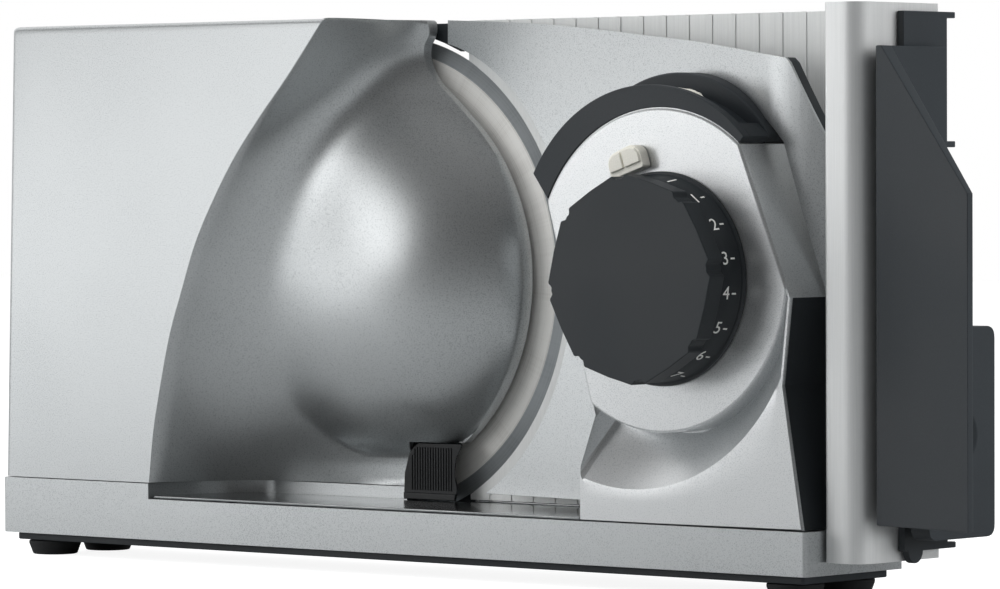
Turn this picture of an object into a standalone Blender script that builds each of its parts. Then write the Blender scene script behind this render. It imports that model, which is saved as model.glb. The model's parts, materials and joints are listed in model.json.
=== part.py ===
"""Electric food slicer for the kitchen, built piece by piece.

X runs along the base from its motor end to its column end, Y from the slice side to the food
side, Z up from the table. Sizes are in metres. Every piece is placed from the datum corner at
the left front of the base, and one parent empty carries the whole so that the middle of its
footprint is the origin.
"""

import math

import bmesh
import bpy
from mathutils import Matrix, Vector

MM = 0.001

# General values
GAP = 0.3 * MM
OVERRUN = 2 * MM
EDGE = 0.8 * MM
SHEET = 1.2 * MM
RUNNING = 0.5 * MM
BORE_SIDES = 24
DISC_SIDES = 48
BLADE_SIDES = 96

# Base casting
BASE_LENGTH = 370 * MM
BASE_DEPTH = 52 * MM
SKIRT_Z = 8 * MM
FLOOR_Z = 22.5 * MM
PLINTH_Z = 28 * MM
BASE_WALL = 3 * MM
BASE_REAR_WALL = 4.7 * MM
BASE_EDGE = 1.6 * MM
PLINTH_OVERHANG = 0.2 * MM
RECESS_CORNER = 23 * MM
RECESS_STRIP = 9.5 * MM

# Floor plate and feet
UNDERPAN_INSET = 3.5 * MM
UNDERPAN_THICK = 2.4 * MM
FOOT_RADIUS = 9.5 * MM
FOOT_TOP_RADIUS = 8 * MM
FOOT_INSET_X = 14 * MM
FOOT_INSET_Y = 12.5 * MM
FOOT_CHAMFER = 1 * MM

# Stop plate's seat in the depth of the base, and its travel
STOP_THICK = 4 * MM
STOP_BACK_Y = BASE_DEPTH
STOP_FRONT_Y = STOP_BACK_Y - STOP_THICK
STOP_TRAVEL = 14 * MM

# Blade
BLADE_X = 143 * MM
BLADE_Z = 101.6 * MM
BLADE_RADIUS = 85 * MM
BLADE_BACK_Y = STOP_BACK_Y - RUNNING
BLADE_THICK = 2.2 * MM
BLADE_EDGE_THICK = 0.3 * MM
BLADE_BEVEL = 5.5 * MM
BLADE_BORE = 6 * MM
BLADE_CLEARANCE = 2 * MM
BLADE_CAP_RADIUS = 30 * MM
BLADE_CAP_THICK = 2 * MM

# Motor housing shell
HOUSING_TOP_Z = 191.5 * MM
HOUSING_FACE_Y = 0.5 * MM
COVER_DEPTH = 5 * MM
HOUSING_BACK_Y = BLADE_BACK_Y - COVER_DEPTH
BLADE_SHOWN = 13.3 * MM
HOUSING_WALL = 2.2 * MM
HOUSING_DRAFT = 4.5 * MM
HOUSING_RADIUS = BLADE_RADIUS - BLADE_SHOWN
HOUSING_CORNER = 3 * MM
HOUSING_TOP_REACH = 28.5 * MM
HOUSING_TOP_WIDTH = BLADE_X + HOUSING_TOP_REACH
CREASE_TOP_SHIFT = 16.3 * MM
CREASE_FOOT_SHIFT = 69.2 * MM
CREASE_TOP_X = BLADE_X + CREASE_TOP_SHIFT
CREASE_FOOT_X = BLADE_X - CREASE_FOOT_SHIFT
DOME_LIFT = 29 * MM
DOME_SHIFT_X = 18 * MM
DOME_DROP = 3.6 * MM
DOME_X = BLADE_X + DOME_SHIFT_X
DOME_Z = BLADE_Z - DOME_DROP
DOME_BLEND = 9 * MM
BOWL_TURN = 50 * MM
FLARE_DEPTH = 4 * MM
FLARE_FOOT = 5 * MM
FLARE_RISE = 17 * MM
HOUSING_ROWS = 34
HOUSING_COLUMNS = 30
HOUSING_FLATS = 3

# Plinth under the housing and the recess for the slices
PLINTH_LENGTH = CREASE_FOOT_X + PLINTH_OVERHANG
RECESS_BACK_Y = BASE_DEPTH - RECESS_STRIP

# Back of the motor housing
BULKHEAD_THICK = 2 * MM
COVER_INSET = 2.5 * MM
INLET_X = 16 * MM
INLET_Z = 62 * MM
INLET_RADIUS = 7 * MM
INLET_BORE = 3.6 * MM
INLET_FLANGE = 9 * MM
INLET_REACH = 4 * MM
VENT_COUNT = 6
VENT_LENGTH = 26 * MM
VENT_WIDTH = 2.4 * MM
VENT_PITCH = 6 * MM
VENT_X = 30 * MM
VENT_Z = 150 * MM

# Finger guard at the foot of the blade
GUARD_SHIFT = 17.4 * MM
GUARD_LENGTH = 27.3 * MM
GUARD_NARROWING = 3.8 * MM
GUARD_LEAN = 6 * MM
GUARD_LEFT = BLADE_X + GUARD_SHIFT
GUARD_RIGHT = GUARD_LEFT + GUARD_LENGTH
GUARD_WAIST = GUARD_RIGHT - GUARD_NARROWING
GUARD_TOP_LEFT = GUARD_LEFT + GUARD_LEAN
GUARD_TOP_Z = 43.8 * MM
GUARD_THICK = 7.7 * MM
GUARD_BACK_Y = STOP_FRONT_Y - GAP
GUARD_FRONT_Y = GUARD_BACK_Y - GUARD_THICK
GUARD_SLOPE = 4 * MM
GUARD_BEND_SHARE = 0.4
PLINTH_STRIP_END = GUARD_LEFT - EDGE

# Drive inside the housing
WHEEL_RADIUS = 18 * MM
WHEEL_WIDTH = 8 * MM
WHEEL_TEETH = 40
TOOTH_DEPTH = 1.6 * MM
WORM_RADIUS = 4.4 * MM
WORM_LENGTH = 24 * MM
SHAFT_RADIUS = 5 * MM
SHAFT_REACH = 4.5 * MM
BUSH_WALL = 3 * MM
MOTOR_RADIUS = 18 * MM
DRIVE_Y = HOUSING_BACK_Y - MOTOR_RADIUS
SHAFT_FRONT_Y = DRIVE_Y - SHAFT_REACH
MOTOR_START_X = 9 * MM
MOTOR_LENGTH = 48 * MM
MOTOR_BOSS = 4 * MM
ROTOR_RADIUS = 2.5 * MM
FAN_RADIUS = 15 * MM
FAN_WIDTH = 5 * MM
FAN_BLADES = 8

# Dial housing that stands on the base
DIAL_FACE_Y = 1 * MM
DIAL_SLAB = 11 * MM
STOP_CLEARANCE = 4 * MM
DIAL_BACK_Y = STOP_FRONT_Y - STOP_TRAVEL - STOP_CLEARANCE
DIAL_WALL = 2.4 * MM
DIAL_INSET = 2.7 * MM
DIAL_WIDTH = 93.3 * MM
DISC_INSET = 58.8 * MM
DIAL_RIGHT = BASE_LENGTH - DIAL_INSET
DIAL_LEFT = DIAL_RIGHT - DIAL_WIDTH
DISC_X = DIAL_RIGHT - DISC_INSET
DISC_Z = 106 * MM
DISC_RADIUS = 53.2 * MM
DISC_LEFT_ANGLE = 155
DISC_RIGHT_ANGLE = 51
DIAL_LEFT_HEIGHT = 17 * MM
DIAL_SEAM = 6.5 * MM
DIAL_SEAM_Z = 57 * MM
DIAL_WAIST = 7.9 * MM
DIAL_WAIST_X = DIAL_RIGHT - DIAL_WAIST
DIAL_WAIST_Z = 69.4 * MM
DIAL_ELBOW = 4.6 * MM
DIAL_ELBOW_X = DIAL_RIGHT - DIAL_ELBOW
DIAL_ELBOW_Z = 97.7 * MM
SCOOP_SHIFT = 12.5 * MM
SCOOP_DROP = 2 * MM
SCOOP_X = DISC_X - SCOOP_SHIFT
SCOOP_Z = DISC_Z - SCOOP_DROP
SCOOP_RADIUS = 70.3 * MM
SCOOP_DEPTH = 7 * MM

# Switch cap over the dial housing
CAP_SHIFT = 5 * MM
CAP_RAISE = 4.5 * MM
CAP_X = DISC_X - CAP_SHIFT
CAP_Z = DISC_Z + CAP_RAISE
CAP_RADIUS = 56.5 * MM
CAP_LEFT_ANGLE = 151
CAP_RIGHT_ANGLE = 44
CAP_SET_BACK = 1 * MM
CAP_BACK_Y = DIAL_BACK_Y - CAP_SET_BACK
CAP_TROUGH_Y = 3.5 * MM
CAP_TROUGH_WIDTH = 10 * MM
CAP_TROUGH_RADIUS = 54 * MM
CAP_TROUGH_START = 50
CAP_TROUGH_END = 100
SLIDER_ANGLE = 79
SLIDER_HALF_ANGLE = 6
SLIDER_WIDTH = 7.5 * MM
SLIDER_HEIGHT = 3 * MM

# Thickness dial
KNOB_SHIFT = 1.8 * MM
KNOB_DROP = 2.7 * MM
KNOB_X = DISC_X + KNOB_SHIFT
KNOB_Z = DISC_Z - KNOB_DROP
KNOB_RADIUS = 35.2 * MM
KNOB_TOP_RADIUS = 32.6 * MM
KNOB_RIM = 1.4 * MM
KNOB_SKIRT = 9 * MM
KNOB_FACE_Y = -17 * MM
KNOB_GRIP_RADIUS = 33.4 * MM
KNOB_GRIP_SIDES = 8
KNOB_GRIP_ANGLE = 7
KNOB_NOTCH = 1.9 * MM
KNOB_EDGE = 1 * MM
SPINDLE_RADIUS = 5 * MM
SPINDLE_SOCKET = 7 * MM
THREAD_PITCH = 8 * MM
THREAD_DEPTH = 0.8 * MM
POINTER_ANGLE = 111
POINTER_WIDTH = 16 * MM
POINTER_HEIGHT = 9.5 * MM
POINTER_THICK = 4 * MM
POINTER_CORNER = 2.6 * MM

# Stop plate, a fluted extrusion with a column at its end
STOP_SHIFT = 41.6 * MM
STOP_LEFT = BLADE_X + STOP_SHIFT
STOP_FOOT_Z = FLOOR_Z + GAP + EDGE + RUNNING
STOP_TOP_Z = 191.2 * MM
FLUTE_PITCH = 10 * MM
FLUTE_WIDTH = 3 * MM
FLUTE_DEPTH = 0.8 * MM
COLUMN_CLEARANCE = 0.7 * MM
COLUMN_LEFT = BASE_LENGTH + COLUMN_CLEARANCE
COLUMN_WIDTH = 14.6 * MM
COLUMN_FRONT_Y = 9 * MM
COLUMN_FOOT_Z = 12.3 * MM
COLUMN_TOP_Z = 192.7 * MM
COLUMN_WALL = 1.8 * MM
COLUMN_ROUND = 7 * MM
COLUMN_CORNER = 1.5 * MM

# Sloping cover on the front of the stop plate
PANEL_SHIFT = 34.5 * MM
PANEL_THICK = 2.8 * MM
PANEL_STEP = 0.4 * MM
PANEL_RIGHT_STEP = 3.65 * MM
PANEL_LEFT = BLADE_X + PANEL_SHIFT
PANEL_RIGHT = COLUMN_LEFT - GAP
PANEL_LEFT_Y = STOP_FRONT_Y - PANEL_THICK - PANEL_STEP
PANEL_RIGHT_Y = COLUMN_FRONT_Y + PANEL_RIGHT_STEP
PANEL_FOOT_Z = 27 * MM
PANEL_ARC_SHIFT = 16.4 * MM
PANEL_ARC_INSET = 1.5 * MM
PANEL_ARC_RADIUS = BLADE_RADIUS - PANEL_ARC_INSET
PANEL_TOP_Z = 191.4 * MM
PANEL_SHOULDER_INSET = 20.7 * MM
PANEL_SHOULDER_X = COLUMN_LEFT - PANEL_SHOULDER_INSET
PANEL_SHOULDER_Z = 175.2 * MM
PANEL_TOP_SHARES = [(0, 1), (0.24, 0.885), (0.4, 0.755), (0.625, 0.52), (0.755, 0.375), (0.975, 0.04)]
PANEL_SLANT_Z = 147 * MM
PANEL_CLEARANCE = 0.8 * MM

# Carrier, nut and guides behind the cover
CARRIER_THICK = 3.4 * MM
CARRIER_WIDTH = 62 * MM
CARRIER_HEIGHT = 86 * MM
NUT_RADIUS = 9 * MM
NUT_LENGTH = 20 * MM
ROD_RADIUS = 3 * MM
ROD_OFFSET_Z = 34 * MM
ROD_STAND = 2 * MM
ROD_BACK_Y = DIAL_BACK_Y + ROD_STAND
SLEEVE_WALL = 2.5 * MM
SLEEVE_LENGTH = 17 * MM

# Black end cover of the stop plate
END_THICK = 2.6 * MM
END_DEPTH = 23.5 * MM
END_BACK_Y = STOP_BACK_Y
END_FRONT_Y = END_BACK_Y - END_DEPTH
END_FOOT_Z = 15.5 * MM
END_TOP_Z = 190 * MM
END_TAB = 4.4 * MM
END_TAB_THICK = 2 * MM
END_MIDDLE_Z = 146 * MM
END_BOSS_RADIUS = 4 * MM
END_BOSS_SHIFT = 6 * MM
END_BOSS_Y = END_FRONT_Y + END_BOSS_SHIFT

# Remnant holder parked on the end cover
HOLDER_CLEARANCE = 1.2 * MM
HOLDER_SET_BACK = 6 * MM
HOLDER_DEPTH = 34 * MM
HOLDER_X = COLUMN_LEFT + COLUMN_WIDTH + GAP + END_THICK + HOLDER_CLEARANCE
HOLDER_BACK_Y = END_BACK_Y - HOLDER_SET_BACK
HOLDER_FRONT_Y = HOLDER_BACK_Y - HOLDER_DEPTH
HOLDER_FOOT_Z = 25 * MM
HOLDER_TOP_Z = 178.5 * MM
HOLDER_THICK = 3 * MM
WING_LENGTH = 41.5 * MM
WING_DROP = 11.5 * MM
WING_SHOULDER_Z = 129 * MM
HOLDER_LIFT = 12 * MM
HOLDER_HOOK = 5 * MM
GRIP_REACH = 15.5 * MM
GRIP_DEPTH = 35.8 * MM
GRIP_BACK_Y = HOLDER_BACK_Y + GRIP_REACH
GRIP_FRONT_Y = GRIP_BACK_Y - GRIP_DEPTH
GRIP_FOOT_Z = 19.5 * MM
GRIP_TOP_Z = 88 * MM
GRIP_THICK = 7.5 * MM
GRIP_CORNER = 4 * MM
GRIP_HOLE = 5.4 * MM
GRIP_DISH = 9.4 * MM
GRIP_HOLE_INSET = 18.7 * MM
GRIP_HOLE_RISE = 33.3 * MM
GRIP_HOLE_Y = GRIP_BACK_Y - GRIP_HOLE_INSET
GRIP_HOLE_Z = GRIP_FOOT_Z + GRIP_HOLE_RISE

# Carriage on the food side
RAIL_RADIUS = 3 * MM
RAIL_CLEARANCE = 6.3 * MM
RAIL_Y = BASE_DEPTH + RAIL_CLEARANCE
RAIL_Z = 16.5 * MM
RAIL_INSET = 1 * MM
BRACKET_WIDTH = 4 * MM
BRACKET_HEIGHT = 11 * MM
SLED_CLEARANCE = 6.4 * MM
SLED_LENGTH = 153.6 * MM
SLED_RIGHT = BASE_LENGTH - RAIL_INSET - BRACKET_WIDTH - SLED_CLEARANCE
SLED_LEFT = SLED_RIGHT - SLED_LENGTH
SLED_HALF_DEPTH = 5.2 * MM
SLED_FOOT_Z = 10.6 * MM
SLED_TOP_Z = 24 * MM
HINGE_Z = 28 * MM
HINGE_PIN_RADIUS = 1.5 * MM
HINGE_LUG = 4 * MM
HINGE_RADIUS = 3 * MM
TABLE_REACH = 148 * MM
TABLE_THICK = 3 * MM
TABLE_LIP = 2.5 * MM
TABLE_CORNER = 8 * MM
END_WALL_THICK = 3 * MM
END_WALL_REACH = 17.7 * MM
END_WALL_BACK_Y = RAIL_Y + END_WALL_REACH
END_WALL_FOOT_Z = 20.2 * MM
END_WALL_TOP_Z = 100 * MM
END_WALL_CORNER = 5 * MM
FLANGE_WIDTH = 12 * MM
FLANGE_THICK = 2.4 * MM

OVERALL_LEFT = 0
OVERALL_RIGHT = HOLDER_X + HOLDER_THICK + WING_LENGTH
OVERALL_FRONT = KNOB_FACE_Y
OVERALL_BACK = END_WALL_BACK_Y

for leftover in list(bpy.data.objects):
    bpy.data.objects.remove(leftover, do_unlink=True)

PARTS = bpy.data.collections.new("food_slicer")
CUTTERS = bpy.data.collections.new("cutters")
bpy.context.scene.collection.children.link(PARTS)
bpy.context.scene.collection.children.link(CUTTERS)


def material(name, colour, roughness, metallic=0.0):
    """A plain finish: colour, roughness and metallic value of one kind of piece."""
    finish = bpy.data.materials.new(name)
    finish.use_nodes = True
    shader = finish.node_tree.nodes["Principled BSDF"]
    shader.inputs["Base Color"].default_value = (*colour, 1)
    shader.inputs["Roughness"].default_value = roughness
    shader.inputs["Metallic"].default_value = metallic
    finish.diffuse_color = (*colour, 1)
    return finish


SILVER = material("silver_paint", (0.52, 0.55, 0.56), 0.42, 0.6)
ANODISED = material("anodised_aluminium", (0.62, 0.64, 0.64), 0.35, 0.9)
STEEL = material("brushed_steel", (0.6, 0.59, 0.57), 0.28, 1.0)
BLACK = material("black_plastic", (0.04, 0.047, 0.052), 0.5)
GLOSS = material("gloss_black_plastic", (0.015, 0.018, 0.02), 0.25)
CREAM = material("cream_plastic", (0.68, 0.67, 0.6), 0.45)
RUBBER = material("rubber", (0.03, 0.03, 0.03), 0.85)
BRASS = material("brass", (0.6, 0.45, 0.2), 0.35, 1.0)
NYLON = material("white_nylon", (0.75, 0.74, 0.7), 0.5)

# Ways an outline is laid: the outline's own axes in the object's, and its thickness direction
FLAT = Matrix.Identity(3)
FRONT = Matrix(((1, 0, 0), (0, 0, 1), (0, 1, 0)))
SIDE = Matrix(((0, 0, 1), (1, 0, 0), (0, 1, 0)))


def empty(name, location, parent):
    """An empty that stands on a joint's axis, placed in the datum frame."""
    holder = bpy.data.objects.new(name, None)
    holder.empty_display_size = KNOB_RADIUS
    PARTS.objects.link(holder)
    holder.location = Vector(location)
    if parent is not None:
        holder.parent = parent
        holder.location -= datum_of(parent)
    return holder


def datum_of(holder):
    """The place of an empty in the datum frame."""
    place = Vector((0, 0, 0))
    while holder is not None and holder.parent is not None:
        place += holder.location
        holder = holder.parent
    return place


def finish(piece, surface, parent):
    """Give a piece its material and hang it on its empty, keeping its place."""
    piece.data.materials.clear()
    piece.data.materials.append(surface)
    piece.parent = parent
    piece.location -= datum_of(parent)
    return piece


def link(name, mesh, location=(0, 0, 0)):
    """A new object with this mesh, in the parts' collection."""
    piece = bpy.data.objects.new(name, mesh)
    PARTS.objects.link(piece)
    piece.location = location
    return piece


def as_cutter(piece):
    """Turn an object into a cutter: hidden, wire, in the cutters' collection."""
    for home in list(piece.users_collection):
        home.objects.unlink(piece)
    CUTTERS.objects.link(piece)
    piece.hide_render = True
    piece.display_type = "WIRE"
    return piece


def boolean(piece, tool, operation="DIFFERENCE"):
    """Cut, join or intersect a piece with a tool that moves with it."""
    as_cutter(tool)
    step = piece.modifiers.new(operation.lower(), "BOOLEAN")
    step.operation = operation
    step.solver = "EXACT"
    step.object = tool
    tool.parent = piece
    tool.location -= piece.location
    return piece


def bevel(piece, width, segments=2, angle=40):
    """Round the sharp edges of a piece."""
    step = piece.modifiers.new("rounded edges", "BEVEL")
    step.width = width
    step.segments = segments
    step.limit_method = "ANGLE"
    step.angle_limit = math.radians(angle)
    return piece


def smooth(mesh, angle=35):
    """Shade a mesh smooth but keep its edges sharp."""
    mesh.shade_smooth()
    mesh.set_sharp_from_angle(angle=math.radians(angle))


def arc(x, y, radius, start, end, count):
    """Points along an arc, angles in degrees."""
    points = []
    for i in range(count + 1):
        turn = math.radians(start + (end - start) * i / count)
        points.append((x + radius * math.cos(turn), y + radius * math.sin(turn)))
    return points


def ring(x, y, radius, count):
    """Points round a full circle, the last one short of the first."""
    return arc(x, y, radius, 0, 360 - 360 / count, count - 1)


def rounded(points, radius, steps=4):
    """An outline with each corner rounded to a radius, or to one radius per corner."""
    result = []
    count = len(points)
    for i, corner in enumerate(points):
        size = radius[i] if isinstance(radius, (list, tuple)) else radius
        here = Vector(corner)
        before = Vector(points[i - 1]) - here
        after = Vector(points[(i + 1) % count]) - here
        half = before.angle(after) / 2
        if size <= 0 or half > math.radians(87):
            result.append(tuple(here))
            continue
        reach = min(size / math.tan(half), before.length * 0.49, after.length * 0.49)
        first = here + before.normalized() * reach
        last = here + after.normalized() * reach
        for k in range(steps + 1):
            share = k / steps
            point = first * (1 - share) ** 2 + here * 2 * share * (1 - share) + last * share ** 2
            result.append(tuple(point))
    return result


def offset(points, distance):
    """An outline moved outwards by a distance (points run anticlockwise)."""
    result = []
    count = len(points)
    for i, point in enumerate(points):
        before = (Vector(point) - Vector(points[i - 1])).normalized()
        after = (Vector(points[(i + 1) % count]) - Vector(point)).normalized()
        along = (before + after).normalized()
        spread = max(0.35, math.cos(before.angle(after) / 2))
        result.append((point[0] + along.y * distance / spread, point[1] - along.x * distance / spread))
    return result


def outward(work):
    """Make the faces of a closed mesh look outwards."""
    bmesh.ops.recalc_face_normals(work, faces=work.faces)
    if work.calc_volume(signed=True) < 0:
        bmesh.ops.reverse_faces(work, faces=work.faces)


def plate(name, outlines, near, far, way=FLAT):
    """A flat outline, with any holes, extruded between two depths and made a mesh."""
    shape = bpy.data.curves.new(name + "_outline", "CURVE")
    shape.dimensions = "2D"
    shape.fill_mode = "BOTH"
    shape.extrude = (far - near) / 2
    for points in outlines:
        spline = shape.splines.new("POLY")
        spline.points.add(len(points) - 1)
        for target, point in zip(spline.points, points):
            target.co = (point[0], point[1], 0, 1)
        spline.use_cyclic_u = True
    sketch = bpy.data.objects.new(name + "_outline", shape)
    PARTS.objects.link(sketch)
    bpy.context.view_layer.update()
    mesh = bpy.data.meshes.new_from_object(sketch.evaluated_get(bpy.context.evaluated_depsgraph_get()))
    bpy.data.objects.remove(sketch, do_unlink=True)
    bpy.data.curves.remove(shape)
    work = bmesh.new()
    work.from_mesh(mesh)
    bmesh.ops.remove_doubles(work, verts=work.verts, dist=GAP / 100)
    middle = (near + far) / 2
    for vert in work.verts:
        vert.co = way @ Vector((vert.co.x, vert.co.y, vert.co.z + middle))
    outward(work)
    work.to_mesh(mesh)
    work.free()
    smooth(mesh)
    return link(name, mesh)


def block(name, low, high):
    """A box between two corners."""
    work = bmesh.new()
    bmesh.ops.create_cube(work, size=1)
    for vert in work.verts:
        for axis in range(3):
            vert.co[axis] = high[axis] if vert.co[axis] > 0 else low[axis]
    mesh = bpy.data.meshes.new(name)
    work.to_mesh(mesh)
    work.free()
    return link(name, mesh)


def rod(name, centre, axis, start, end, radius, sides=32, end_radius=None):
    """A cylinder or cone along X, Y or Z; centre gives the two other coordinates."""
    work = bmesh.new()
    last = radius if end_radius is None else end_radius
    bmesh.ops.create_cone(work, cap_ends=True, segments=sides, radius1=radius, radius2=last, depth=1)
    for vert in work.verts:
        along = start + (vert.co.z + 0.5) * (end - start)
        if axis == "X":
            vert.co = (along, centre[0] + vert.co.x, centre[1] + vert.co.y)
        elif axis == "Y":
            vert.co = (centre[0] + vert.co.x, along, centre[1] + vert.co.y)
        else:
            vert.co = (centre[0] + vert.co.x, centre[1] + vert.co.y, along)
    outward(work)
    mesh = bpy.data.meshes.new(name)
    work.to_mesh(mesh)
    work.free()
    smooth(mesh)
    return link(name, mesh)


def turned(name, profile, location, axis="Y", steps=48):
    """A turned piece: profile of (radius, height) pairs, top to bottom on its outer side."""
    mesh = bpy.data.meshes.new(name)
    edges = [(i, i + 1) for i in range(len(profile) - 1)]
    if profile[0][0] > 0:
        edges.append((len(profile) - 1, 0))
    mesh.from_pydata([(radius, 0, height) for radius, height in profile], edges, [])
    piece = link(name, mesh, location)
    if axis == "Y":
        piece.rotation_euler = (-math.pi / 2, 0, 0)
    elif axis == "X":
        piece.rotation_euler = (0, math.pi / 2, 0)
    screw = piece.modifiers.new("turn", "SCREW")
    screw.steps = steps
    screw.render_steps = steps
    screw.use_merge_vertices = True
    screw.merge_threshold = GAP / 10
    screw.use_smooth_shade = True
    return piece


def base_outline():
    """Plan of the base, its corners a little rounded."""
    return rounded([(0, 0), (BASE_LENGTH, 0), (BASE_LENGTH, BASE_DEPTH), (0, BASE_DEPTH)], BASE_EDGE)


def recess_edge(clearance=0.0):
    """Plan of the recess for the slices, from the base's front to its strip's end."""
    edge = []
    for i in range(13):
        turn = math.pi / 2 * i / 12
        x = PLINTH_LENGTH + RECESS_CORNER * (1 - math.cos(turn)) + clearance
        edge.append((x, (RECESS_BACK_Y - clearance) * math.sin(turn)))
    return edge


def base_casting(parent):
    """Die-cast base: a hollow tray with a plinth under the motor housing."""
    piece = plate("base_casting", [base_outline()], SKIRT_Z, FLOOR_Z)
    plan = recess_edge() + [(PLINTH_STRIP_END, RECESS_BACK_Y), (PLINTH_STRIP_END, BASE_DEPTH)]
    radii = [0] * len(plan) + [BASE_EDGE, BASE_EDGE]
    top_plan = rounded(plan + [(0, BASE_DEPTH), (0, 0)], radii)
    plinth = plate("plinth", [top_plan], FLOOR_Z - BASE_WALL, PLINTH_Z)
    boolean(piece, plinth, "UNION")
    low = (BASE_WALL, BASE_WALL, SKIRT_Z - OVERRUN)
    high = (BASE_LENGTH - BASE_WALL, BASE_DEPTH - BASE_REAR_WALL, FLOOR_Z - BASE_WALL)
    boolean(piece, block("base_hollow", low, high))
    trench = rod("blade_trench", (BLADE_X, BLADE_Z), "Y", BLADE_BACK_Y - BLADE_THICK - RUNNING,
                 BASE_DEPTH + OVERRUN, BLADE_RADIUS + BLADE_CLEARANCE, BLADE_SIDES)
    boolean(piece, trench)
    bevel(piece, EDGE, 2, 50)
    return finish(piece, SILVER, parent)


def underpan(parent):
    """Black floor plate set in under the skirt."""
    top = SKIRT_Z - GAP
    inset = UNDERPAN_INSET
    corners = [(inset, inset), (BASE_LENGTH - inset, inset),
               (BASE_LENGTH - inset, BASE_DEPTH - inset), (inset, BASE_DEPTH - inset)]
    piece = plate("base_underpan", [rounded(corners, BASE_EDGE)], top - UNDERPAN_THICK, top)
    return finish(piece, BLACK, parent)


def feet(parent):
    """Four turned rubber feet."""
    top = SKIRT_Z - UNDERPAN_THICK - GAP * 2
    left = FOOT_INSET_X
    right = BASE_LENGTH - FOOT_INSET_X
    front = FOOT_INSET_Y
    back = BASE_DEPTH - FOOT_INSET_Y
    places = {"front_left": (left, front), "front_right": (right, front),
              "back_left": (left, back), "back_right": (right, back)}
    profile = [(0, top), (FOOT_RADIUS, top), (FOOT_RADIUS, top - FOOT_CHAMFER),
               (FOOT_TOP_RADIUS, 0), (0, 0)]
    for place, (x, y) in places.items():
        piece = turned("foot_" + place, profile, (x, y, 0), "Z", 24)
        finish(piece, RUBBER, parent)


def slice_tray(parent):
    """Polished steel plate that lies in the recess and catches the slices."""
    low = FLOOR_Z + GAP
    edge = [(x, y) for x, y in recess_edge(RUNNING) if y > BASE_EDGE]
    plan = [(edge[0][0], BASE_EDGE)] + edge
    plan += [(STOP_LEFT, RECESS_BACK_Y - RUNNING), (DIAL_LEFT - RUNNING, RECESS_BACK_Y - RUNNING)]
    plan += [(DIAL_LEFT - RUNNING, BASE_EDGE)]
    piece = plate("slice_tray", [plan], low, low + EDGE)
    return finish(piece, STEEL, parent)


CREASE_SHARES = [(0, 0), (0.115, 0.028), (0.205, 0.066), (0.325, 0.125), (0.42, 0.194), (0.526, 0.277),
                 (0.62, 0.382), (0.713, 0.508), (0.8, 0.654), (0.88, 0.8), (1, 1)]
NECK_SHARES = [(0, 1), (0.2, 0.6), (0.36, 0.26), (0.55, 0.03), (0.72, 0), (0.86, 0.13), (1, 0.13)]
BOWL_SHARES = [(0, 0.95), (0.13, 0.74), (0.3, 0.5), (0.47, 0.42), (0.7, 0.46), (0.88, 0.72), (1, 0.97)]
BOWL_TURN_SHARES = [(0, 0.24), (0.45, 0.26), (0.75, 0.2), (1, 0.09)]
DOME_REACH_SHARES = [(0, 1), (0.125, 1), (0.25, 0.88), (0.375, 0.76), (0.5, 0.7), (0.625, 0.88), (0.75, 1),
                     (1, 1)]
DOME_PROFILE_SHARE = 0.62
HOUSING_FOOT_SHARE = 0.92
HOUSING_NECK_SHARE = 0.78


def share_of(table, share):
    """A value read from a table of (share, value) pairs."""
    for (start, first), (end, last) in zip(table, table[1:]):
        if share <= end:
            return first + (last - first) * max(0.0, share - start) / (end - start)
    return table[-1][1]


def height_share(z):
    """How far up the housing a height is."""
    return min(1.0, max(0.0, (z - PLINTH_Z) / (HOUSING_TOP_Z - PLINTH_Z)))


def housing_left(z):
    """Where the left wall stands at a height: it leans in a little."""
    return HOUSING_DRAFT * height_share(z)


def housing_crease(z):
    """Where the flat face ends at a height."""
    return CREASE_FOOT_X + (CREASE_TOP_X - CREASE_FOOT_X) * share_of(CREASE_SHARES, height_share(z))


def housing_right(z):
    """Where the moulded front ends at a height: the dome's arc, then the neck above it."""
    if z < BLADE_Z - HOUSING_RADIUS * HOUSING_FOOT_SHARE:
        return BLADE_X + HOUSING_RADIUS * math.sqrt(1 - HOUSING_FOOT_SHARE ** 2)
    neck_z = BLADE_Z + HOUSING_RADIUS * HOUSING_NECK_SHARE
    if z <= neck_z:
        return BLADE_X + math.sqrt(HOUSING_RADIUS ** 2 - (z - BLADE_Z) ** 2)
    start = BLADE_X + HOUSING_RADIUS * math.sqrt(1 - HOUSING_NECK_SHARE ** 2)
    low = HOUSING_TOP_WIDTH - HOUSING_CORNER
    share = min(1.0, (z - neck_z) / (HOUSING_TOP_Z - neck_z))
    return low + (start - low) * share_of(NECK_SHARES, share)


def dome_share(x, z):
    """How far from the dome's middle a place lies, as a share of the way to the dome's rim."""
    away_x = x - DOME_X
    away_z = z - DOME_Z
    distance = math.hypot(away_x, away_z)
    if distance == 0:
        return 0.0
    turn = math.atan2(away_z, away_x) % (2 * math.pi)
    middle_x = DOME_X - BLADE_X
    middle_z = DOME_Z - BLADE_Z
    along = (middle_x * away_x + middle_z * away_z) / distance
    outside = HOUSING_RADIUS ** 2 - middle_x ** 2 - middle_z ** 2
    rim = math.sqrt(along ** 2 + outside) - along
    return distance / (rim * share_of(DOME_REACH_SHARES, turn / (2 * math.pi)))


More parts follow.
